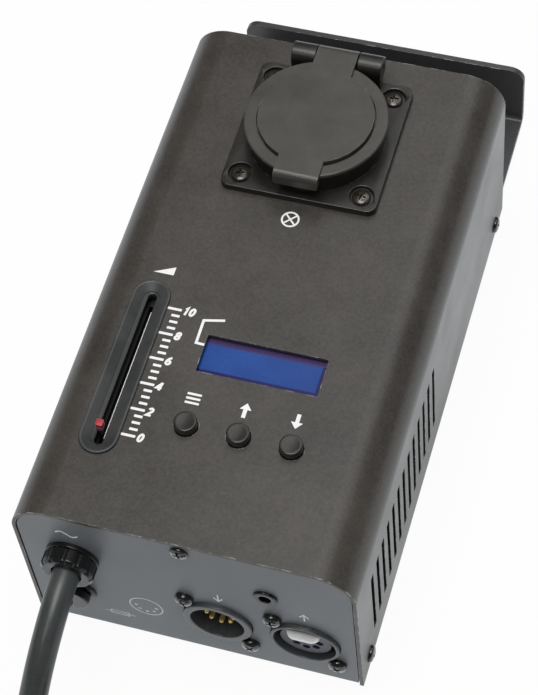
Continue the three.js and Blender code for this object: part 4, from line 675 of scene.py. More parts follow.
# Boot: a cone whose radius dips in rings, and each dip is a smooth pulse along its length. Past
# the flare, the radius is drawn in near the xz plane for the two side grooves.
def makePlug():
    look = plugLook
    t = math.radians(look["tilt"])
    axis = (math.cos(t), 0, math.sin(t))
    height = -5 + look["rimRadius"] * math.cos(t) - look["flareEnd"] * math.sin(t)
    at = (*look["start"], height)
    length, thin, wide = look["boot"]
    first, last = look["ribSpan"]
    h = np.linspace(0, length, 97)
    wave = np.sin((h - first) / (last - first) * look["ribs"] * 2 * np.pi)
    dips = np.where((h > first) & (h < last), np.clip(wave, 0, 1), 0)
    boot = np.stack([thin + (wide - thin) * h / length - look["ribDepth"] * dips**0.5, h], 1)
    flare = filleted(look["flare"], look["flareRound"], 6, False)
    part = turnedPart(np.concatenate([[(0, 0)], boot[:-1], flare]), 96)
    x, y, z = part[0].T
    r = np.hypot(x, y)
    floor = look["rimRadius"] - look["grooveDepth"]
    inGroove = (np.abs(x) < look["grooveHalf"]) & (z > look["flareEnd"] + 0.5) & (r > floor + 0.1)
    part = swelled(part, np.where(inGroove, floor / np.maximum(r, 1e-6), 1))
    part = aimed(part, axis, at, look["spin"])
    body = makePiece("plug_body", [part], "leadSheath", ["plug"])
    pin = turnedPart(filleted(look["pin"], look["pinRound"], 6, False), 40)
    pins = [moved(pin, (0, side * look["pinGap"] / 2, 0)) for side in (-1, 1)]
    pins = [aimed(p, axis, at, look["spin"]) for p in pins]
    return body, makePiece("plug_pins", pins, "silverContact")


plugBody, plugPins = makePlug()
print("lead and plug made")

coverLook = {
    "width": 104.0, "height": 69.0, "length": 183.0, "sheet": 1.2, "bend": 12.5, "edge": 0.25,
    "ventCount": 13, "ventWidth": 2.6, "ventPitch": 6.0, "ventFirst": 15.5, "vent": (12.0, 45.0),
    "window": (-12.15, 25.15, 56.55, 69.45), "fader": (-33.0, 53.2, 10.2, 60.0),
    "buttons": [(-9.2, 37.8), (6.8, 37.8), (22.8, 37.8)], "buttonHole": 3.7, "outlet": (0.0, 147.0, 21.8),
    "screws": [8.7, 171.6], "screwUp": 5.9, "screwHole": 1.75, "corner": 0.8, "holeCorner": 0.4,
    "wall": 1.5, "tab": (7.5, 56.8, 67.8), "tabFoot": (9, 66.6, 68.0), "tabEdge": 0.3,
    "posts": ((-5.5, 26), (32, 26), (-5.5, 88), (32, 88)), "post": (2, 57, 68),
}


# Half of the flat pattern's parts: the straight side, the arc of the bend and the middle line
def coverPattern():
    look = coverLook
    tall, arc = look["height"] - look["bend"], look["bend"] * np.pi / 2
    return tall, arc, tall + arc + look["width"] / 2 - look["bend"]


# The flat pattern's first coordinate runs up the left side, over the bends and the top and down
# the right side. On a bend the angle is the run divided by the radius.
def foldCover(points, depth):
    s, y = points[:, 0], points[:, 1]
    half, r = coverLook["width"] / 2, coverLook["bend"]
    tall, arc, mid = coverPattern()
    run = np.abs(s - mid) - (half - r)
    angle = np.clip(run / r, 0, np.pi / 2)
    x = np.minimum(np.abs(s - mid), half - r) + (r - depth) * np.sin(angle)
    z = tall + (r - depth) * np.cos(angle) - np.maximum(run - arc, 0)
    return np.stack([np.sign(s - mid) * x, y, z], 1)


def makeCover():
    look = coverLook
    length = look["length"]
    tall, arc, mid = coverPattern()
    corner, edge = look["holeCorner"], look["tabEdge"]
    x0, x1, y0, y1 = look["window"]
    x, *slot = look["fader"]
    holes = [boxLoop(mid + x0, mid + x1, y0, y1, corner, 3), longLoop(mid + x, *slot)]
    holes += [circleLoop(mid + x, y, look["buttonHole"]) for x, y in look["buttons"]]
    x, y, r = look["outlet"]
    holes.append(circleLoop(mid + x, y, r, 72))
    low, high = look["vent"]
    w, up = look["ventWidth"] / 2, look["screwUp"]
    for y in look["ventFirst"] + look["ventPitch"] * np.arange(look["ventCount"]):
        for a, b in ((low, high), (2 * mid - high, 2 * mid - low)):
            holes.append(boxLoop(a, b, y - w, y + w, corner, 3))
    for y in look["screws"]:
        holes += [circleLoop(s, y, look["screwHole"], 16) for s in (up, 2 * mid - up)]
    runs = np.linspace(tall, tall + arc, 17)
    ticks = np.linspace(0, length, 24)
    folds = [np.stack([np.full(24, s), ticks], 1) for s in np.concatenate([runs, 2 * mid - runs])]
    outline = boxLoop(0, 2 * mid, 0, length, look["corner"], 3)
    parts = [sheetPart(outline, holes, folds, foldCover, look["sheet"])]
    half, tabLow, tabHigh = look["tab"]
    foot, footLow, footHigh = look["tabFoot"]
    for y, inward in ((look["wall"], 1), (length - look["wall"], -1)):
        parts += [softBlock(-half, half, *sorted((y, y + inward * look["sheet"])), tabLow, tabHigh, edge),
                  softBlock(-half, half, *sorted((y, y + inward * foot)), footLow, footHigh, edge)]
    r, low, high = look["post"]
    parts += [moved(turnedPart(rectangle(0, r, low, high), 24), (x, y, 0)) for x, y in look["posts"]]
    makePiece("cover", parts, "coverPaint", ["top_cover"], look["edge"])


makeCover()
topHeight = coverLook["height"]  # the top sheet's upper face
print("cover made")

bracketLook = {"halfWidth": 50.0, "sheet": 2.0, "bend": 3.5, "front": 153.0, "rear": 224.0, "rise": 25.5,
               "corner": 5.0, "hole": (11.0, 5.5), "screws": (36.0, 168.0, 2.25), "edge": 0.3}


# The pattern's second coordinate runs back under the base, round the bend and up the rear face
def foldBracket(points, depth):
    look = bracketLook
    x, s = points[:, 0], points[:, 1]
    r = look["bend"]
    flatEnd = look["rear"] - r
    angle = np.clip((s - flatEnd) / r, 0, np.pi / 2)
    y = np.minimum(s, flatEnd) + (r - depth) * np.sin(angle)
    z = -look["sheet"] + r - (r - depth) * np.cos(angle) + np.maximum(s - flatEnd - r * np.pi / 2, 0)
    return np.stack([x, y, z], 1)


def makeBracket():
    look = bracketLook
    r, half = look["bend"], look["halfWidth"]
    flatEnd = look["rear"] - r
    risen = flatEnd + r * np.pi / 2
    base = risen - (r - look["sheet"])
    x, y, screwHole = look["screws"]
    holes = [circleLoop(0, base + look["hole"][0], look["hole"][1], 48)]
    holes += [circleLoop(side * x, y, screwHole, 24) for side in (-1, 1)]
    ticks = np.linspace(-half, half, 12)
    folds = [np.stack([ticks, np.full(12, s)], 1) for s in np.linspace(flatEnd, risen, 9)]
    outline = boxLoop(-half, half, look["front"], base + look["rise"], look["corner"], 8)
    makePiece("bracket", [sheetPart(outline, holes, folds, foldBracket, look["sheet"])], "bracketPaint",
              ["hanging_bracket"], look["edge"])


makeBracket()

screwLook = {"crossWing": 1.8, "crossWidth": 0.72, "crossDepth": 1.2, "crossSpread": (1.25, 0.55),
             "lipShare": 0.35, "domePower": 0.7, "point": (0.7, 0.5)}


# Pan head: a flattened dome over a short straight edge, with the shank below the seat at z = 0
def screwParts(headRadius, headHeight, shankRadius, length):
    q = np.linspace(0, np.pi / 2, 12)
    lip, (narrow, chamfer) = screwLook["lipShare"] * headHeight, screwLook["point"]
    swept = headRadius * np.cos(q) ** screwLook["domePower"]
    dome = np.stack([swept, lip + (headHeight - lip) * np.sin(q)], 1)
    shank = [(0, -length), (shankRadius * narrow, -length), (shankRadius, chamfer - length)]
    seat = [(shankRadius, 0), (headRadius, 0)]
    profile = np.concatenate([shank, seat, dome[:-1], [(0, headHeight)]])
    return turnedPart(profile, 40)


# Cross-shaped driver recess as a solid that narrows towards its tip
def crossCutter(headHeight):
    look = screwLook
    w, l = look["crossWidth"] / 2, look["crossWing"]
    loop = np.array([(w, w), (l, w), (l, -w), (w, -w), (w, -l), (-w, -l), (-w, -w), (-l, -w), (-l, w),
                     (-w, w), (-w, l), (w, l)])[::-1]
    ends = zip(look["crossSpread"], (headHeight + 1, headHeight - look["crossDepth"]))
    points = np.concatenate([np.column_stack([loop * k, np.full(12, h)]) for k, h in ends])
    return points, gridFaces(2, 12, False, True) + [list(range(12)), list(range(12, 24))[::-1]]


# Each size of screw is cut once
@cache
def cutScrew(headRadius, headHeight, shankRadius, length):
    parts = screwParts(headRadius, headHeight, shankRadius, length), crossCutter(headHeight)
    screw, cross = [meshObject("screwWork", points * 0.001, faces, 1e-7) for points, faces in parts]
    cut = screw.modifiers.new("cross", "BOOLEAN")
    cut.operation, cut.object, cut.solver = "DIFFERENCE", cross, "EXACT"
    applyModifiers(screw)
    mesh = screw.data
    co = np.empty(len(mesh.vertices) * 3)
    mesh.vertices.foreach_get("co", co)
    faces = [list(f.vertices) for f in mesh.polygons]
    for obj in (screw, cross):
        bpy.data.objects.remove(obj)
    return co.reshape(-1, 3) * 1000, faces


# Head radius, head height, shank radius and length of each kind, then each screw's kind, the way
# its head faces, its place and its turn
caseScrew, outletScrew = (2.8, 1.4, 1.45, 6.0), (2.9, 1.3, 1.45, 9.0)
bracketScrew, socketScrew = (4.0, 2.4, 1.95, 7.0), (2.9, 2.4, 1.45, 7.0)
screwPlaces = {
    "side_screw_front_left": (caseScrew, (-1, 0, 0), (-52, 8.7, 5.9), 0.3),
    "side_screw_front_right": (caseScrew, (1, 0, 0), (52, 8.7, 5.9), 0.9),
    "side_screw_rear_left": (caseScrew, (-1, 0, 0), (-52, 171.6, 5.9), 1.1),
    "side_screw_rear_right": (caseScrew, (1, 0, 0), (52, 171.6, 5.9), 0.5),
    "top_screw_front": (caseScrew, (0, -1, 0), (0, 0.3, 64.2), 0.2),
    "top_screw_rear": (caseScrew, (0, 1, 0), (0, 182.7, 64.2), 0.7),
    "bracket_screw_left": (bracketScrew, (0, 0, -1), (-36, 168, -2), 0.4),
    "bracket_screw_right": (bracketScrew, (0, 0, -1), (36, 168, -2), 1.2),
    "outlet_screw_front_left": (outletScrew, (0, 0, 1), (-19.5, 127.5, 70.2), 0.25),
    "outlet_screw_front_right": (outletScrew, (0, 0, 1), (19.5, 127.5, 70.2), -0.2),
    "outlet_screw_rear_left": (outletScrew, (0, 0, 1), (-19.5, 166.5, 70.2), 0.6),
    "outlet_screw_rear_right": (outletScrew, (0, 0, 1), (19.5, 166.5, 70.2), 0.1),
    "socket_screw_in_upper": (socketScrew, (0, -1, 0), (-1.6, 0.3, 34.2), 0.4),
    "socket_screw_in_lower": (socketScrew, (0, -1, 0), (17.4, 0.3, 12.6), 0.8),
    "socket_screw_out_upper": (socketScrew, (0, -1, 0), (25.5, 0.3, 34.2), 0.1),
    "socket_screw_out_lower": (socketScrew, (0, -1, 0), (44.5, 0.3, 12.6), 0.5),
}
for screwName, (size, axis, at, spin) in screwPlaces.items():
    part = aimed(cutScrew(*size), axis, at, spin)
    finish = "bronzeSteel" if size == outletScrew else "blackSteel"
    makePiece("cross_" + screwName, [part], finish, [screwName])
print("screws made:", len(screwPlaces))

footLook = {
    "profile": [(0, -4.4), (2.4, -4.4), (3.0, -5), (5.6, -5), (6, -0.1), (2.2, -0.1), (2.2, 1.5)],
    "round": [0, 0.3, 0.3, 0.8, 0.3, 0, 0], "barb": [(3.0, 1.5), (2.2, 3.1), (0, 3.1)],
    "places": {"foot_front_left": (-40, 14), "foot_front_right": (40, 14), "foot_rear_left": (-40, 142),
               "foot_rear_right": (40, 142)}}
footProfile = np.concatenate([filleted(footLook["profile"], footLook["round"], 4, False), footLook["barb"]])
for footName, (x, y) in footLook["places"].items():
    makePiece("rubber_" + footName, [moved(turnedPart(footProfile, 48), (x, y, 0))], "footRubber",
              [footName])

outletLook = {"middle": (0.0, 147.0), "plate": 50.0, "thick": 2.5, "corner": 3.0, "screw": 19.5,
              "screwHole": 1.75, "counterbore": 3.8, "seat": (69.02, 70.2), "opening": 20.4, "collar": 21.5,
              "bore": 19.3, "well": 16.8, "floor": 2.0, "top": 78.5, "low": 53.0,
              "key": (17.3, 19.5, 2, 61, 76.5), "hingeY": 172.5, "hingeZ": 77.7, "barrel": 3.8, "pin": 1.3,
              "inner": 6.9, "outer": 14.7, "arm": (172, 70.2, 75.6)}


def makeHousing():
    look = outletLook
    mx, my = look["middle"]
    half = look["plate"] / 2
    places = [(sx * look["screw"], my + sy * look["screw"]) for sx in (-1, 1) for sy in (-1, 1)]
    holes = [circleLoop(mx, my, look["opening"], 96)]
    holes += [circleLoop(x, y, look["counterbore"], 40) for x, y in places]
    outline = boxLoop(-half, half, my - half, my + half, look["corner"], 8)
    parts = [flatSheet(outline, holes, topHeight + look["thick"], look["thick"])]
    seat = turnedPart(rectangle(look["screwHole"], look["counterbore"] + 0.1, *look["seat"]), 40, True)
    parts += [moved(seat, (x, y, 0)) for x, y in places]
    floor = look["low"] + look["floor"]
    cup = [(look["bore"], floor), (look["well"], floor), (look["well"], look["low"]),
           (look["collar"], look["low"]), (look["collar"], look["top"]), (look["bore"], look["top"])]
    parts.append(moved(turnedPart(cup, 128, True), (mx, my, 0)))
    near, far, keyHalf, keyLow, keyHigh = look["key"]
    armFront, armLow, armHigh = look["arm"]
    ring = turnedPart(rectangle(look["pin"], look["barrel"], look["inner"], look["outer"]), 56, True)
    rear = look["hingeY"] - look["barrel"]
    section = [(rear, armLow), (armFront, armLow), (armFront, armHigh), (rear, look["hingeZ"])]
    for side in (-1, 1):
        x0, x1 = sorted((side * near, side * far))
        parts.append(softBlock(x0, x1, my - keyHalf, my + keyHalf, keyLow, keyHigh, 0.4))
        x0, x1 = sorted((side * look["inner"], side * look["outer"]))
        parts += [aimed(ring, (side, 0, 0), (0, look["hingeY"], look["hingeZ"])),
                  acrossX(pushedPart(section, x0 + 0.02, x1 - 0.02))]
    makePiece("outlet_body", parts, "housingPlastic", ["outlet_housing"], 0.3)


lidLook = {"radius": 22.5, "bottom": 78.8, "rimTop": 80.2, "top": 81.5, "disc": 18.2, "seal": 1.6,
           "sealIn": 0.5, "tabHalf": 7.1, "tabY": 122.5, "tabDrop": 2.8, "tabBend": 2.2, "tabCorner": 1.2,
           "tongueHalf": 6.6, "flatY": 168.1, "thick": 2.3, "knuckle": 3.75, "knuckleFrom": 129.3,
           "web": (10.0, 80.6), "knuckleIn": 2.8, "flapBack": 12.0, "ditch": 1.1, "ditchWidth": 0.42,
           "step": 0.12}


# The raised form is one moulded sheet: it rolls over the hinge barrel at the rear and over the
# nose of the finger tab at the front; the angle on each roll is the run divided by its radius.
def foldLid(points, depth):
    look, house = lidLook, outletLook
    x, y = points[:, 0], points[:, 1]
    big, small = house["barrel"], look["tabBend"]
    rear, front = house["hingeY"], look["tabY"] + small
    over = np.clip((y - rear) / big, 0, np.pi / 2)
    nose = np.clip((front - y) / small, 0, np.pi / 2)
    drop = np.maximum(front - small * np.pi / 2 - y, 0)
    inner = max(small - depth, 0.1)
    foldY = np.clip(y, front, rear) + (big - depth) * np.sin(over) - inner * np.sin(nose)
    lowered = (big - depth) * (1 - np.cos(over)) + inner * (1 - np.cos(nose)) + drop
    return np.stack([x, foldY, look["top"] - depth - lowered], 1)


def lidOutline():
    look, house = lidLook, outletLook
    my, r = house["middle"][1], look["disc"]
    tongue, tab, corner = look["tongueHalf"], look["tabHalf"], look["tabCorner"]
    rear = house["hingeY"] + house["barrel"] * np.pi / 2
    front = look["tabY"] + look["tabBend"] * (1 - np.pi / 2) - look["tabDrop"]
    swing = np.linspace(-math.acos(tab / r), math.acos(tongue / r), 60)
    right = np.stack([r * np.cos(swing), my + r * np.sin(swing)], 1)
    ends = filleted([(tab, front + 3), (tab, front), (-tab, front), (-tab, front + 3)],
                    [0, corner, corner, 0], 4, False)
    left = (right * [-1, 1])[::-1]
    return np.concatenate([ends[1:-1][::-1], right, [(tongue, rear), (-tongue, rear)], left])


def makeLid():
    look, house = lidLook, outletLook
    my, hy, hz = house["middle"][1], house["hingeY"], house["hingeZ"]
    bottom, rimTop, radius, disc = look["bottom"], look["rimTop"], look["radius"], look["disc"]
    tongue, tab, tabY = look["tongueHalf"], look["tabHalf"], look["tabY"]
    ditch, floor = disc + look["ditchWidth"], rimTop - look["ditch"]
    profile = filleted([(0, bottom), (radius, bottom), (radius, rimTop), (ditch, rimTop), (ditch, floor),
                        (0, floor)], [0, 0.3, 0.5, 0.15, 0, 0], 4, False)
    rim = moved(turnedPart(profile, 128), (0, my, 0))
    rim[0][:, 1] = np.minimum(rim[0][:, 1], look["flatY"])
    lip = rectangle(disc - look["seal"], disc, bottom - look["seal"], bottom + look["sealIn"])
    seal = moved(turnedPart(lip, 96, True), (0, my, 0))
    bends = [(tongue, y) for y in hy + house["barrel"] * np.linspace(0, np.pi / 2, 13)[:-1]]
    bends += [(tab, y) for y in tabY + look["tabBend"] - look["tabBend"] * np.linspace(0, np.pi / 2, 9)]
    folds = [np.array([(-half, y), (half, y)]) for half, y in bends]
    raised = sheetPart(lidOutline(), [], folds, foldLid, look["thick"])
    # hinge knuckles: round about the pin, with a web forward under the sheet to the rim
    q = np.linspace(math.radians(look["knuckleFrom"]), -np.pi, 30)
    knuckle = np.stack([hy + look["knuckle"] * np.cos(q), hz + look["knuckle"] * np.sin(q)], 1)
    under, web = bottom + look["step"], my + look["web"][0]
    below = [(hy - look["knuckle"], under), (web, under)]
    section = np.concatenate([[(web, look["web"][1])], knuckle, below])
    knuckles = [acrossX(pushedPart(section, *sorted((side * look["knuckleIn"], side * (tongue - 0.05)))))
                for side in (-1, 1)]
    flap = softBlock(-tab + 0.3, tab - 0.3, tabY + 0.4, my - look["flapBack"], under, rimTop - 0.1, 0.2)
    parts = [rim, raised, seal, *knuckles, flap]
    makePiece("lid", parts, "lidPlastic", ["outlet_lid"], 0.3, "lid")


makeHousing()
makeLid()
print("outlet and lid made")

faderLook = {
    "x": -33.0, "y": 53.2, "core": 24.9, "tipY": 30.7,
    "bezel": [(6, 0.02), (6, 0.9), (5.2, 0.9), (2.5, -0.7), (2.5, -4.5), (4.8, -4.5), (4.8, 0.02)],
    "bezelRound": [0, 0.6, 0.9, 0.3, 0.1, 0.1, 0],
    "lips": [(1.35, -1.3), (2.62, -0.74), (2.62, -2.4), (1.35, -2.2)], "lipsRound": [0.25, 0, 0, 0.1],
    "track": (1.12, 1.4, -24.5, 20.5, 66.9, 67.62), "tip": (1.2, 0.5, 0.18, 71.3, 1.9),
    "collar": (1.05, 1.25, 70.2, 71.35)}


# Bezel and dust lips: a closed section of (radius, height) carried round a core line, so that the
# rim, the dish and the slit's edges run in parallel all round. Track edge: a strip of near-white
# steel beside the slit, a painted highlight line for the light caught on the potentiometer can's edge.
# Tip: a grey collar below and a red grip above, waisted by a half sine.
def makeFader():
    look = faderLook
    x, y, core = look["x"], look["y"], look["core"]
    rings = {"bezel": (core, filleted(look["bezel"], look["bezelRound"], 5), ["fader_bezel"]),
             "dust_lips": (core + 0.6, filleted(look["lips"], look["lipsRound"], 4), [])}
    for name, (reach, section, nodes) in rings.items():
        part = moved(grownPart((0, reach), section, 12, True), (x, y, topHeight))
        makePiece(name, [part], "bezelPlastic", nodes)
    x0, x1, y0, y1, z0, z1 = look["track"]
    edge = softBlock(x + x0, x + x1, y + y0, y + y1, z0, z1, 0.08)
    # painted highlight: the can's edge takes bright latch steel in place of the can's dark finish
    makePiece("track_highlight", [edge], "latchSteel")
    half, corner, waist, low, tall = look["tip"]
    q = np.linspace(0, 1, 9)
    side = np.stack([corner - waist * np.sin(np.pi * q), low + tall * q], 1)
    grip = moved(grownPart((half - corner, half - corner), side, 4), (x, look["tipY"], 0))
    makePiece("tip", [grip], "redPlastic", ["fader_tip"], 0.2, "fader")
    cx, cy, z0, z1 = look["collar"]
    collar = softBlock(x - cx, x + cx, look["tipY"] - cy, look["tipY"] + cy, z0, z1, 0.2)
    makePiece("tip_collar", [collar], "greyPlastic", body="fader")


makeFader()

buttonLook = {"radius": 3.45, "rise": 2.9, "round": 0.75, "dish": (2.7, 0.12),
              "stem": [(0, 62.6), (1.6, 62.6), (1.6, 66.5), (5, 66.5), (5, 67.5)],
              "words": ("menu", "up", "down")}


# Caps: the top is a dish that grows shallower with the square of the radius
def makeButtons():
    look = buttonLook
    r, top = look["radius"], topHeight + look["rise"]
    rim, depth = look["dish"]
    run = np.linspace(rim, 0, 8)
    bowl = np.stack([run, top - depth * (1 - (run / rim) ** 2)], 1)
    wall = filleted([*look["stem"], (r, look["stem"][-1][1]), (r, top), (rim, top)],
                    [0, 0, 0, 0.2, 0.2, 0, look["round"], 0], 6, False)
    cap = turnedPart(np.concatenate([wall, bowl[1:]]), 64)
    for word, (x, y) in zip(look["words"], coverLook["buttons"]):
        makePiece("cap_" + word, [moved(cap, (x, y, 0))], "buttonPlastic",
                  ["button_" + word], body=word + "_button")


makeButtons()

socketLook = {
    "inX": 7.9, "outX": 35.0, "z": 23.4, "radius": 10.7, "depth": 24.0, "lip": 1.4,
    "plate": (26.0, 31.0, 1.75), "plateTop": -1.25, "plateCorner": 2.0, "plateHole": 10.6,
    "screw": (9.5, 10.8, 1.75), "maleBore": 8.4, "maleDepth": 13.5, "maleRear": 8.1, "core": (8.15, -23.8),
    "femaleBore": 9.6, "femaleDepth": 15.0, "femaleRear": 8.1,
    "insert": 7.9, "insertFlat": 5.6, "insertFace": -0.1, "insertThick": 9.5, "hole": 1.15,
    "pinCircle": 4.3, "pin": 0.8, "pinTip": 1.2, "pinEnd": -26.2,
    "latchHalf": 5.75, "latchTop": 7.55, "latchReach": 9.99,
}


# Round shell with a plain bore, open to the front and closed down to a smaller bore at its depth;
# for a latch, the bore is opened near the top as far as the slot's upper side
def socketShell(bore, depth, close, latched):
    look = socketLook
    section = filleted([(bore, -depth), (bore, look["lip"]), (look["radius"], look["lip"]),
                        (look["radius"], -look["depth"]), (close, -look["depth"]), (close, -depth)],
                       [0, 0.35, 0.45, 0.2, 0, 0], 4)
    points, faces = turnedPart(section, 128, True)
    if latched:
        x, y, z = points.T
        near = (np.abs(x) < look["latchHalf"]) & (np.hypot(x, y) < look["latchReach"])
        inner = near & (y > 0) & (z > -depth - 0.1)
        points[inner, 1] = np.maximum(points[inner, 1], look["latchTop"])
    return points, faces


def socketPlate():
    look = socketLook
    width, tall, thick = look["plate"]
    dx, dy, hole = look["screw"]
    holes = [circleLoop(0, 0, look["plateHole"], 72)]
    holes += [circleLoop(x, y, hole, 16) for x, y in ((-dx, dy), (dx, -dy))]
    outline = boxLoop(-width / 2, width / 2, -tall / 2, tall / 2, look["plateCorner"], 4)
    return flatSheet(outline, holes, look["plateTop"], thick)


def makeSockets():
    look = socketLook
    z, deep = look["z"], look["maleDepth"]
    shells = {"in": socketShell(look["maleBore"], deep, look["maleRear"], False),
              "out": socketShell(look["femaleBore"], look["femaleDepth"], look["femaleRear"], True)}
    for word, shell in shells.items():
        parts = [onPanel(p, look[word + "X"], z) for p in (shell, socketPlate())]
        makePiece(word + "_shell", parts, "socketSteel", [word + "_socket_shell"])
    # carrier of the pins: a black disc, and five pins with round tips through it
    core = turnedPart(rectangle(0, *look["core"], -deep), 72)
    makePiece("in_core", [onPanel(core, look["inX"], z)], "blackPlastic")
    angle = np.pi + np.pi * np.arange(5) / 4
    spots = look["pinCircle"] * np.stack([np.cos(angle), np.sin(angle)], 1)
    r, tip, end = look["pin"], -look["pinTip"], look["pinEnd"]
    tips = [(r * math.cos(k), tip - r + r * math.sin(k)) for k in np.linspace(0, np.pi / 2, 7)]
    pin = turnedPart([(0, end), (r, end), (r, -deep - 0.4)] + tips, 24)
    makePiece("in_pins", [onPanel(moved(pin, (x, y, 0)), look["inX"], z) for x, y in spots], "goldContact",
              ["in_socket_contacts"])
    # insert: a disc with a flat on its upper side and five contact holes
    rim = circleLoop(0, 0, look["insert"], 96)
    rim[:, 1] = np.minimum(rim[:, 1], look["insertFlat"])
    holes = [circleLoop(x, y, look["hole"], 24) for x, y in spots]
    insert = flatSheet(rim, holes, look["insertFace"], look["insertThick"])
    makePiece("out_insert", [onPanel(insert, look["outX"], z)], "greyPlastic",
              ["out_socket_insert"], 0.2)


makeSockets()

jackLook = {"x": 24.4, "z": 47.6, "nut": 3.7, "thick": 0.9, "bore": 1.85, "sleeve": 3.0, "end": -9.0,
            "knurls": 24, "knurlDepth": 0.03, "knurlFrom": 3.3, "back": (4.5, -12.2, -8.9)}


# Knurled nut: past a radius, the radius is drawn in by a cosine of the angle round the bore
def makeJack():
    look = jackLook
    bore, nut, thick, sleeve, end = look["bore"], look["nut"], look["thick"], look["sleeve"], look["end"]
    section = filleted([(bore, end), (bore, thick), (nut, thick), (nut, 0), (sleeve, 0), (sleeve, end)],
                       [0, 0.25, 0.35, 0, 0, 0], 4)
    part = turnedPart(section, 96, True)
    x, y, _ = part[0].T
    wave = 0.5 + 0.5 * np.cos(look["knurls"] * np.arctan2(y, x))
    part = swelled(part, np.where(np.hypot(x, y) > look["knurlFrom"], 1 - look["knurlDepth"] * wave, 1))
    half, low, high = look["back"]
    parts = [part, softBlock(-half, half, -half, half, low, high, 0.3)]
    makePiece("jack", [onPanel(p, look["x"], look["z"]) for p in parts], "blackPlastic",
              ["small_jack"])


makeJack()

glandLook = {"x": -35.0, "z": 45.0, "radius": 8.2, "flange": 1.6, "cap": 5.0, "bore": 4.6, "flutes": 12,
             "fluteDepth": 0.4, "fluteShare": 0.65, "taper": 0.9, "spigot": 6.9, "tube": (6.2, -13.0),
             "inside": 1.5, "overlap": 1.2, "gap": 0.05}


# Cap: a ring section carried round, its radius drawn in where a flute runs: the flute's depth is
# the positive part of a lowered cosine, so the ribs stay wide and the flutes narrow
def makeGland():
    look = glandLook
    bore, radius, taper, spigot, gap = [look[k] for k in ("bore", "radius", "taper", "spigot", "gap")]
    low, high, room = look["flange"], look["flange"] + look["cap"], spigot + 0.2
    inside = low + look["inside"]
    section = filleted([(bore, inside), (bore, high), (radius - taper, high), (radius, high - taper),
                        (radius, low + gap), (room, low + gap), (room, inside)],
                       [0, 0.5, 0.6, 0.6, 0.25, 0, 0], 5)
    cap = turnedPart(section, 240, True)
    x, y, _ = cap[0].T
    r, share = np.hypot(x, y), look["fluteShare"]
    wave = np.clip(np.cos(look["flutes"] * np.arctan2(y, x)) - (1 - share), 0, 1) / share
    outer = np.clip((r - room) / (radius - taper - room + gap), 0, 1)
    cap = swelled(cap, 1 - look["fluteDepth"] / np.maximum(r, 1) * np.sqrt(wave) * outer)
    tube, end = look["tube"]
    top = low + look["overlap"]
    section = filleted([(bore, end), (tube, end), (tube, 0), (radius, 0), (radius, low - gap),
                        (spigot, low - gap), (spigot, top), (bore, top)],
                       [0, 0.2, 0, 0.2, 0.4, 0, 0.2, 0.2], 4)
    base = turnedPart(section, 96, True)
    for name, part, node in (("gland_nut", cap, "gland_cap"), ("gland_base", base, "gland_body")):
        makePiece(name, [onPanel(part, look["x"], look["z"])], "blackPlastic", [node])


makeGland()

fuseLook = {"x": -38.0, "z": 21.5, "flange": 7.0, "rise": 1.2, "body": 6.0, "bore": 4.6, "end": -28.0,
            "wall": 1.2, "cap": 5.5, "seat": 1.5, "capRise": 2.6, "flat": 4.6, "slot": (1.3, 1.2),
            "stem": [(0, -2.0), (2.9, -2.0), (2.9, -6.0), (4.3, -6.0)]}


# Cap: a turned solid whose top is lowered to the slot's floor along a straight band
def makeFuseHolder():
    look = fuseLook
    bore, body, flange, rise, end = [look[k] for k in ("bore", "body", "flange", "rise", "end")]
    floor, chamfer = end + look["wall"], rise / 2
    section = filleted([(bore, floor), (bore, rise), (flange - chamfer, rise), (flange, chamfer),
                        (flange, 0), (body, 0), (body, end)], [0, 0.15, 0.3, 0.3, 0.1, 0, 0.3], 4)
    holder = turnedPart(np.concatenate([section, [(0, end), (0, floor)]]), 80, True)
    makePiece("fuse_socket", [onPanel(holder, look["x"], look["z"])], "blackPlastic",
              ["fuse_holder"])
    cap, flat, seat, top = look["cap"], look["flat"], look["seat"], look["seat"] + look["capRise"]
    wall = filleted([*look["stem"], (look["stem"][-1][0], seat), (cap, seat), (cap, top)],
                    [0, 0, 0.2, 0.2, 0, 0.3, 0], 4, False)
    edge = filleted([(cap, (seat + top) / 2), (cap, top), (flat, top)], [0, 0.8, 0], 5, False)
    inner = np.stack([np.linspace(flat, 0, 70)[1:], np.full(69, top)], 1)
    points, faces = turnedPart(np.concatenate([wall[:-1], edge, inner]), 180)
    slotHalf, slotFloor = look["slot"][0] / 2, top - look["slot"][1]
    points[(np.abs(points[:, 0]) < slotHalf) & (points[:, 2] > slotFloor), 2] = slotFloor
    makePiece("fuse_screw_cap", [onPanel((points, faces), look["x"], look["z"])], "blackPlastic",
              ["fuse_cap"], body="fuse_turn_cap")


makeFuseHolder()
print("front panel fittings made")

printLook = {"lift": 0.05, "thick": 0.03, "corner": 0.15, "cross": 0.008}


# Flat outlines on the top sheet become plates a few hundredths thick just above the paint
def topMark(loop):
    high = topHeight + printLook["lift"]
    return pushedPart(loop, high - printLook["thick"], high)


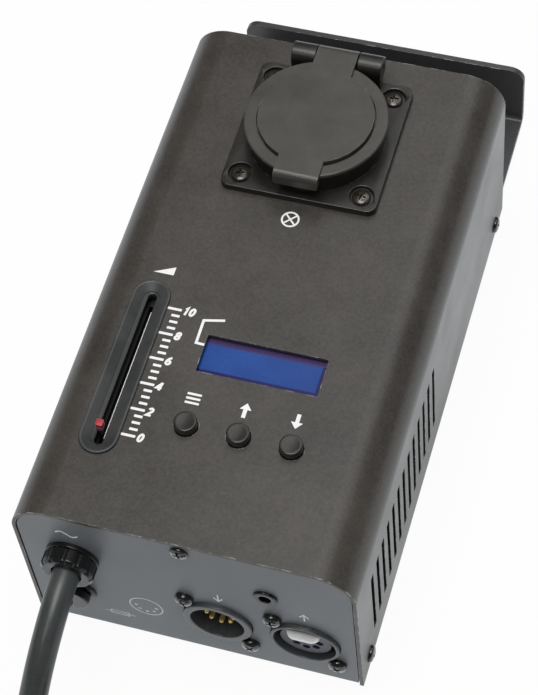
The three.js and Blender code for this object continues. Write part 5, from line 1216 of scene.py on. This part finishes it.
# One stroke: a ribbon of even width along its line, mitred at the corners, as thick as the print;
# a stroke that crosses earlier ones is set higher by the height "cross" for each
def strokePart(line, width, layer=0, closed=False):
    p = np.asarray(line, float)
    ahead, behind = np.roll(p, -1, 0) - p, p - np.roll(p, 1, 0)
    if not closed:
        ahead[-1], behind[0] = behind[-1], ahead[0]
    a, b = [way / np.linalg.norm(way, axis=1)[:, None] for way in (ahead, behind)]
    way = (a + b) / np.linalg.norm(a + b, axis=1)[:, None]
    mitre = width / 2 / np.maximum((way * a).sum(1), 0.4)
    off = np.stack([-way[:, 1], way[:, 0]], 1) * mitre[:, None]
    low, high = printLook["lift"] - printLook["thick"], printLook["lift"] + printLook["cross"] * layer
    corners = ((off, low), (off, high), (-off, high), (-off, low))
    rings = [np.column_stack([p + side, np.full(len(p), w)]) for side, w in corners]
    faces = gridFaces(len(p), 4, closed, True)
    if not closed:
        faces += [[0, 1, 2, 3], [4 * len(p) - k for k in (1, 2, 3, 4)]]
    return np.stack(rings, 1).reshape(-1, 3), faces


def topStroke(*stroke):
    return moved(strokePart(*stroke), (0, 0, topHeight))


def roundLine(x, y, rx, ry, start=0.0, end=360.0, steps=28):
    a = np.radians(np.linspace(start, end, steps + 1))
    return np.stack([x + rx * np.cos(a), y + ry * np.sin(a)], 1)


def ringLine(x, y, rx, ry, steps=28):
    return roundLine(x, y, rx, ry, steps=steps)[:-1]


# Strokes on a field one unit high: each is a line and whether it closes
digitStrokes = {
    "0": [(ringLine(0.3, 0.5, 0.22, 0.42), True)],
    "1": [([(0.08, 0.74), (0.26, 0.92), (0.26, 0.0)], False)],
    "2": [(np.concatenate([roundLine(0.3, 0.68, 0.21, 0.24, 165, -25, 12), [(0.08, 0.08), (0.58, 0.08)]]),
           False)],
    "4": [([(0.42, 0.0), (0.42, 1.0)], False), ([(0.42, 0.94), (0.06, 0.3), (0.62, 0.3)], False)],
    "6": [(ringLine(0.3, 0.3, 0.22, 0.22), True), (roundLine(0.56, 0.34, 0.48, 0.58, 178, 100, 10), False)],
    "8": [(ringLine(0.3, 0.28, 0.22, 0.2), True), (ringLine(0.3, 0.7, 0.19, 0.2), True)],
}
scaleLook = {"x": -26.9, "y0": 30.7, "pitch": 4.5, "major": 4.4, "minor": 2.6, "width": 0.85, "digit": 2.8,
             "digitX": -21.7, "stroke": 0.76, "slant": 0.22, "step": 0.62}


# Plain slanted digits drawn with strokes
def digitParts(text, y):
    look, parts = scaleLook, []
    for k, sign in enumerate(text):
        for layer, (line, closed) in enumerate(digitStrokes[sign]):
            p = (np.asarray(line, float) - [0, 0.5]) * look["digit"]
            p[:, 0] += look["slant"] * p[:, 1]
            p = p + [look["digitX"] + look["step"] * k * look["digit"], y]
            parts.append(topStroke(p, look["stroke"], layer, closed))
    return parts


def makeScalePrint():
    look, marks = scaleLook, []
    for i in range(21):
        y, w = look["y0"] + i * look["pitch"] / 2, look["width"] / 2
        long = look["minor" if i % 4 else "major"]
        x = look["x"] + look["major"] - long
        marks.append(topMark(boxLoop(x, x + long, y - w, y + w, printLook["corner"], 2)))
        if i % 4 == 0:
            marks += digitParts(str(i // 2), y)
    makePiece("scale_print", marks, "whitePrint")


def arrowLoop(x, y, way, tall=5.0, wide=3.6, stem=1.2):
    h, w, s, neck = tall / 2, wide / 2, stem / 2, 0.3
    loop = np.array([(-s, -h), (s, -h), (s, neck), (w, neck), (0, h), (-w, neck), (-s, neck)])
    return loop[::way] * [1, way] + [x, y]


topPrintLook = {"arrows": [(6.1, 46.9, 1), (21.9, 47.0, -1)], "bars": (-12.1, -7.7, 45.2, 0.75, 1.5),
                "sign": [(-8.7, 75.3), (-15.0, 73.9), (-14.9, 65.8), (-12.3, 65.7)],
                "wedge": [(-35.2, 87.2), (-28.8, 87.2), (-28.8, 90.2)], "lamp": (0.0, 115.5, 2.6),
                "widths": (0.85, 0.6, 0.55)}


# Arrows and three bars at the buttons, a sign at the display, a wedge at the fader's end and, below
# the outlet, the lamp sign: a ring with a cross in it
def makeTopPrint():
    look = topPrintLook
    marks = [topMark(arrowLoop(*arrow)) for arrow in look["arrows"]]
    x0, x1, y0, high, pitch = look["bars"]
    for y in y0 + pitch * np.arange(3):
        marks.append(topMark(boxLoop(x0, x1, y, y + high, printLook["corner"], 2)))
    signWidth, ringWidth, crossWidth = look["widths"]
    marks += [topStroke(look["sign"], signWidth), topMark(np.array(look["wedge"]))]
    x, y, r = look["lamp"]
    k = r * math.sqrt(0.5)
    marks += [topStroke(ringLine(x, y, r, r, 40), ringWidth, 0, True),
              topStroke([(x - k, y - k), (x + k, y + k)], crossWidth, 1),
              topStroke([(x - k, y + k), (x + k, y - k)], crossWidth, 2)]
    makePiece("top_print", marks, "whitePrint")


makeScalePrint()
makeTopPrint()

panelPrintLook = {"pinout": (-15.2, 20.6, 5.2), "contacts": (0.62, 0.5), "stem": (37.2, 41.2),
                  "arrows": [(9.2, 38.9, 37.0), (35.5, 39.5, 41.4)], "barb": 1.4,
                  "wave": (-35.0, 58.6, 3.4, 1.1), "line": (-29.6, -19.8, 11.3),
                  "tube": [(-27.6, 10.2), (-21.8, 10.2), (-21.8, 12.4), (-27.6, 12.4)],
                  "widths": {"ring": 0.45, "contact": 0.8, "arrow": 0.5, "wave": 0.55, "tube": 0.4}}


# Marks of the front panel: the pin-out circle with its five contacts, arrows into and out of the
# two sockets, a sine line over the lead and a small tube sign beside the fuse
def makePanelPrint():
    look, width = panelPrintLook, panelPrintLook["widths"]
    x, z, r = look["pinout"]
    share, half = look["contacts"]
    marks = [strokePart(ringLine(x, z, r, r, 48), width["ring"], 0, True)]
    for t in np.pi + np.pi * np.arange(5) / 4:
        cx, cz = x + share * r * math.cos(t), z + share * r * math.sin(t)
        marks.append(strokePart([(cx - half, cz), (cx + half, cz)], width["contact"]))
    for cx, back, tip in look["arrows"]:
        marks.append(strokePart([(cx, z) for z in look["stem"]], width["arrow"]))
        head = [(cx - look["barb"], back), (cx, tip), (cx + look["barb"], back)]
        marks.append(strokePart(head, width["arrow"], 1))
    mx, mz, wide, tall = look["wave"]
    wave = np.linspace(0, 2 * np.pi, 25)
    line = np.stack([mx + wide * (wave / np.pi - 1), mz + tall * np.sin(wave)], 1)
    marks.append(strokePart(line, width["wave"]))
    x0, x1, z = look["line"]
    marks += [strokePart(look["tube"], width["tube"], 0, True),
              strokePart([(x0, z), (x1, z)], width["tube"], 1)]
    makePiece("panel_print", [onPanel(m) for m in marks], "whitePrint")


makePanelPrint()
print("prints made")

# The lamps' rows: place, power and size
stageLook = {"floor": 4.0, "depth": -0.0001, "paper": 0.9, "shadow": 0.05,
             "glossTint": (0.95, 0.98, 1.0, 1), "worldLevel": 0.24, "glossLevel": 0.12,
             "lamps": {"key": ((-0.05, -0.15, 1.55), 13.5, 0.8), "rear": ((0.2, 0.85, 1.4), 5.5, 1.1),
                       "spark": ((-0.2, -0.75, 1.1), 0.9, 0.1)}}


# 1 for what the camera, gloss or glass sees, 0 for light that spreads
def seenDirectly(tree):
    path = addNode(tree, "ShaderNodeLightPath").outputs
    seen = mathNode(tree, "MAXIMUM", path["Is Camera Ray"], path["Is Glossy Ray"])
    return mathNode(tree, "MAXIMUM", seen, path["Is Transmission Ray"])


# The floor is white paper: the camera and the reflections see it as plain white with a trace of
# the shadow, and the light that bounces from it is that of a matt surface
def makeStage():
    look = stageLook
    half, tone = look["floor"] / 2, look["paper"]
    corners = np.array([(-half, -half), (half, -half), (half, half), (-half, half)])
    floor = meshObject("floor", np.column_stack([corners, np.full(4, look["depth"])]), [(0, 1, 2, 3)], 0)
    material, tree, shader = newMaterial("paper")
    fill(tree, shader, {"Base Color": (tone, tone, tone, 1), "Roughness": 0.9, "Specular IOR Level": 0.0})
    eye = addNode(tree, "ShaderNodeLightPath").outputs["Is Camera Ray"]
    tint = mixed(tree, eye, look["glossTint"], (1, 1, 1, 1))
    white = addNode(tree, "ShaderNodeEmission", {"Color": tint, "Strength": 1.0})
    factor = times(tree, seenDirectly(tree), 1 - look["shadow"])
    both = addNode(tree, "ShaderNodeMixShader", {0: factor, 1: shader.outputs[0], 2: white.outputs[0]})
    fill(tree, tree.nodes["Material Output"], {"Surface": both.outputs[0]})
    floor.data.materials.append(material)


def makeAreaLight(name, place, power, size):
    data = bpy.data.lights.new(name, "AREA")
    data.energy, data.size = power, size
    light = newObject(name, data)
    light.location = place
    light.rotation_euler = (-Vector(place)).to_track_quat("-Z", "Y").to_euler()


# The world lights the pack evenly, is dim in its gloss, and only the eye sees it white
def makeWorld():
    world = bpy.data.worlds.new("studio")
    world.use_nodes = True
    tree = world.node_tree
    tree.nodes.clear()
    path = addNode(tree, "ShaderNodeLightPath").outputs
    even, gloss = stageLook["worldLevel"], stageLook["glossLevel"]
    level = plus(tree, times(tree, path["Is Glossy Ray"], gloss - even), even)
    level = mathNode(tree, "MAXIMUM", level, path["Is Camera Ray"])
    light = addNode(tree, "ShaderNodeBackground", {"Color": (1, 1, 1, 1), "Strength": level})
    addNode(tree, "ShaderNodeOutputWorld", {"Surface": light.outputs[0]})
    bpy.context.scene.world = world


makeStage()
for lampName, lampRow in stageLook["lamps"].items():
    makeAreaLight(lampName, *lampRow)
makeWorld()
bpy.context.scene.view_settings.view_transform = "Standard"
print("stage made")

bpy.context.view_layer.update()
